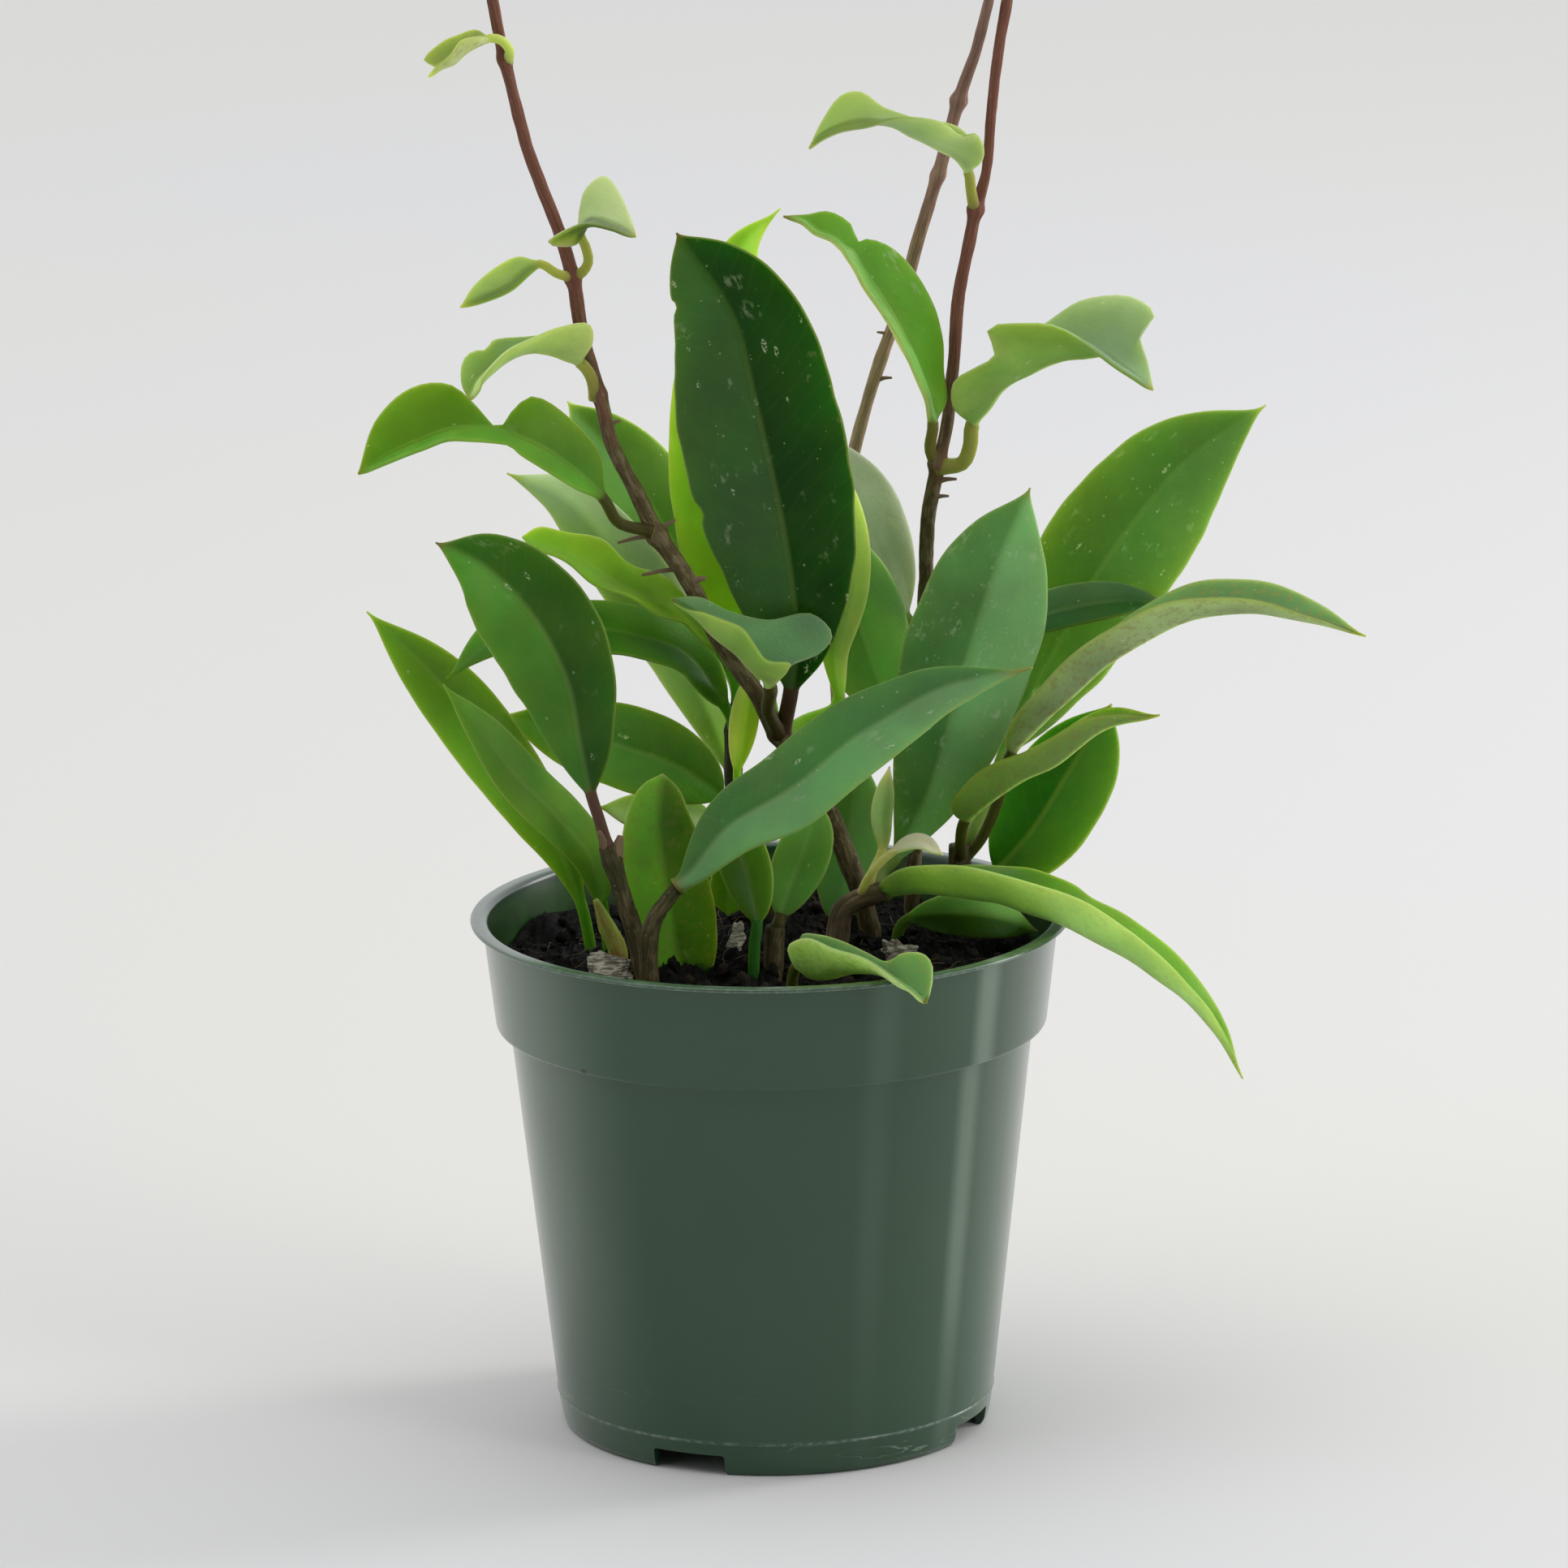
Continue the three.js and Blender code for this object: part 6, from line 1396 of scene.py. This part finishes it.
class HOYA_OT_chips(Builder, bpy.types.Operator):
    """Lays the chips of bark on the soil"""
    bl_idname = "hoya.chips"
    bl_label = "Bark chips"

    def build(self, context, settings):
        s = settings.soil
        for k, row in enumerate(CHIPS):
            name = row["name"]
            rings = lump(row["half"], CHIP_SEED + k, 40, 60, square=0.55, rough=0.16)
            points, faces, _ = closed_rings(rings, {})
            points = turned_by(points, row["turn"], row["at"])
            mesh = make_mesh(name + "_torn", points, outward(points, faces))
            piece(mesh, bark_finish(name + " wood", s.chip, s.chip_dark), name, "bark")


def build_stems(s, vines):
    """The vines or the other stems, each with its joints, aerial roots and cut twigs as one object;
    a vine is more slender than its solid and has larger knobs."""
    share, knobs = (s.slender, s.knobs) if vines else (1, 1)
    for seed, row in enumerate(STEMS, STEM_SEED):
        if (row["slot"] == "vine") != vines:
            continue
        name = row["name"]
        path = [[*place, radius * share] for *place, radius in row["path"]]
        joints = [(place, swell * knobs) for place, swell in row["joints"]]
        rings, values = tube_rings(path, joints, seed, sides=20, step=s.step, rough=s.rough)
        parts = [closed_rings(rings, values)]
        for k, (*ends, r0, r1) in enumerate(row["roots"]):
            start, end = ends[:3], ends[3:]
            middle = [(a + b) / 2 for a, b in zip(start, end)]
            middle[2] += 0.2
            path = [[*start, r0 * 1.25], [*middle, (r0 + r1) / 2], [*end, r1 * 0.7]]
            rings, values = tube_rings(path, [], seed + ROOT_SEED + k, sides=10, step=0.4, rough=0.1)
            values["nub"] = np.ones(rings.shape[:2])
            parts.append(closed_rings(rings, values))
        mesh = make_mesh(name + "_bark", *join_parts(parts))
        young, old, old_below = row["bark"]
        finish = stem_finish(name + " bark", getattr(s, young), getattr(s, old), old_below)
        piece(mesh, finish, name, row["slot"])


def build_leaves(settings, on_vines):
    """One object for each leaf on the vines or for each other leaf, with its own finish."""
    for seed, row in enumerate(LEAVES, LEAF_SEED):
        name = row["name"]
        if (name[5] in VINE_LEAVES) == on_vines:
            points, faces, values = closed_rings(*leaf_rings(row, seed, settings.leaves))
            mesh = make_mesh(name + "_blade", points, outward(points, faces), values)
            piece(mesh, leaf_finish(row, seed, settings.tones), name, "leaf_" + row["colour"])


class HOYA_OT_vines(Builder, bpy.types.Operator):
    """Grows the three long vines, with their joints and aerial roots"""
    bl_idname = "hoya.vines"
    bl_label = "Vines"

    def build(self, context, settings):
        build_stems(settings.stems, True)


class HOYA_OT_stems(Builder, bpy.types.Operator):
    """Grows the short old stems and the new sprout in the clump"""
    bl_idname = "hoya.stems"
    bl_label = "Stems"

    def build(self, context, settings):
        build_stems(settings.stems, False)


class HOYA_OT_vine_leaves(Builder, bpy.types.Operator):
    """Grows the leaves on the long vines"""
    bl_idname = "hoya.vine_leaves"
    bl_label = "Leaves on the vines"

    def build(self, context, settings):
        build_leaves(settings, True)


class HOYA_OT_clump_leaves(Builder, bpy.types.Operator):
    """Grows the leaves of the clump over the pot"""
    bl_idname = "hoya.clump_leaves"
    bl_label = "Leaves of the clump"

    def build(self, context, settings):
        build_leaves(settings, False)


def soft_light(name, place, target, width, height, power, tone):
    """Rectangular light at place, turned to target, in metres and watts."""
    light = bpy.data.lights.new(name, "AREA")
    light.shape = "RECTANGLE"
    light.size = width
    light.size_y = height
    light.energy = power
    light.color = tone
    away = unit(np.array(place, float) - np.array(target, float))
    level = unit(np.cross([0, 0, 1.0], away))
    turn = np.column_stack([level, np.cross(away, level), away])
    new_object(name, light).matrix_world = Matrix.Translation(place) @ Matrix(turn.tolist()).to_4x4()


def place_camera(s):
    """Camera at its distance and height, turned by its pitch, yaw and roll."""
    camera = bpy.data.cameras.new("camera")
    camera.lens = s.lens
    camera.sensor_width = 36
    camera.clip_end = 60
    ahead = np.array([math.sin(s.yaw) * math.cos(s.pitch), math.cos(s.yaw) * math.cos(s.pitch),
                      -math.sin(s.pitch)])
    level = np.array([math.cos(s.yaw), -math.sin(s.yaw), 0])
    over = np.cross(level, ahead)
    right = math.cos(s.roll) * level + math.sin(s.roll) * over
    above = -math.sin(s.roll) * level + math.cos(s.roll) * over
    turned = Matrix(np.column_stack([right, above, -ahead]).tolist()).to_4x4()
    obj = new_object("camera", camera)
    obj.matrix_world = Matrix.Translation((0, -s.camera_far, s.camera_high)) @ turned
    bpy.context.scene.camera = obj


class HOYA_OT_stage(Builder, bpy.types.Operator):
    """Lays the pale floor and places the dark cloth, the soft lights and the camera"""
    bl_idname = "hoya.stage"
    bl_label = "Stage"

    def build(self, context, settings):
        scene = context.scene
        s = settings.stage
        sides = 96
        flat = np.outer(FLOOR_RADII, circle(sides)).reshape(-1, 2) / MM
        points = np.vstack([np.column_stack([flat, np.zeros(len(flat))]), [[0, 0, 0]]])
        faces = [grid_faces(len(FLOOR_RADII), sides)[:, ::-1], fan_faces(0, sides, len(points) - 1)]
        floor = new_object("floor", make_mesh("floor", points, faces))
        floor.data.materials.append(floor_finish(s))
        corners = np.array([[side * CLOTH_HALF_WIDTH, CLOTH_Y, z] for side, z in (
            (-1, CLOTH_FOOT), (1, CLOTH_FOOT), (1, CLOTH_TOP), (-1, CLOTH_TOP))]) / MM
        cloth = new_object("dark_cloth", make_mesh("dark_cloth", corners, [np.array([[3, 2, 1, 0]])]))
        cloth.data.materials.append(cloth_finish())
        world = bpy.data.worlds.new("Studio")
        world.use_nodes = True
        sky = world.node_tree.nodes["Background"].inputs
        sky["Color"].default_value = (*s.sky, 1)
        sky["Strength"].default_value = s.sky_power
        scene.world = world
        for name, (place, target, width, height, power, tone) in LIGHTS.items():
            soft_light(name, place, target, width, height, getattr(s, power), tone)
        scene.view_settings.view_transform = "Standard"
        place_camera(s)


OPERATORS = (HOYA_OT_pot, HOYA_OT_soil, HOYA_OT_chips, HOYA_OT_vines, HOYA_OT_stems,
             HOYA_OT_vine_leaves, HOYA_OT_clump_leaves, HOYA_OT_stage)


class HOYA_PT_panel(bpy.types.Panel):
    """The plant's builders and their settings"""
    bl_idname = "HOYA_PT_panel"
    bl_label = "Potted hoya"
    bl_space_type = "VIEW_3D"
    bl_region_type = "UI"
    bl_category = "Hoya"

    def draw(self, context):
        for operator in OPERATORS:
            self.layout.operator(operator.bl_idname)
        for name, group in GROUPS.items():
            box = self.layout.box()
            box.label(text=name.title())
            for key in group.__annotations__:
                box.prop(getattr(context.scene.hoya, name), key)


CLASSES = (*GROUPS.values(), HoyaSettings, *OPERATORS, HOYA_PT_panel)


def register():
    for kind in CLASSES:
        bpy.utils.register_class(kind)
    bpy.types.Scene.hoya = bpy.props.PointerProperty(type=HoyaSettings)


def unregister():
    del bpy.types.Scene.hoya
    for kind in reversed(CLASSES):
        bpy.utils.unregister_class(kind)


def main():
    """Builds everything in order."""
    register()
    for operator in OPERATORS:
        group, name = operator.bl_idname.split(".")
        getattr(getattr(bpy.ops, group), name)()


if __name__ == "__main__":
    main()
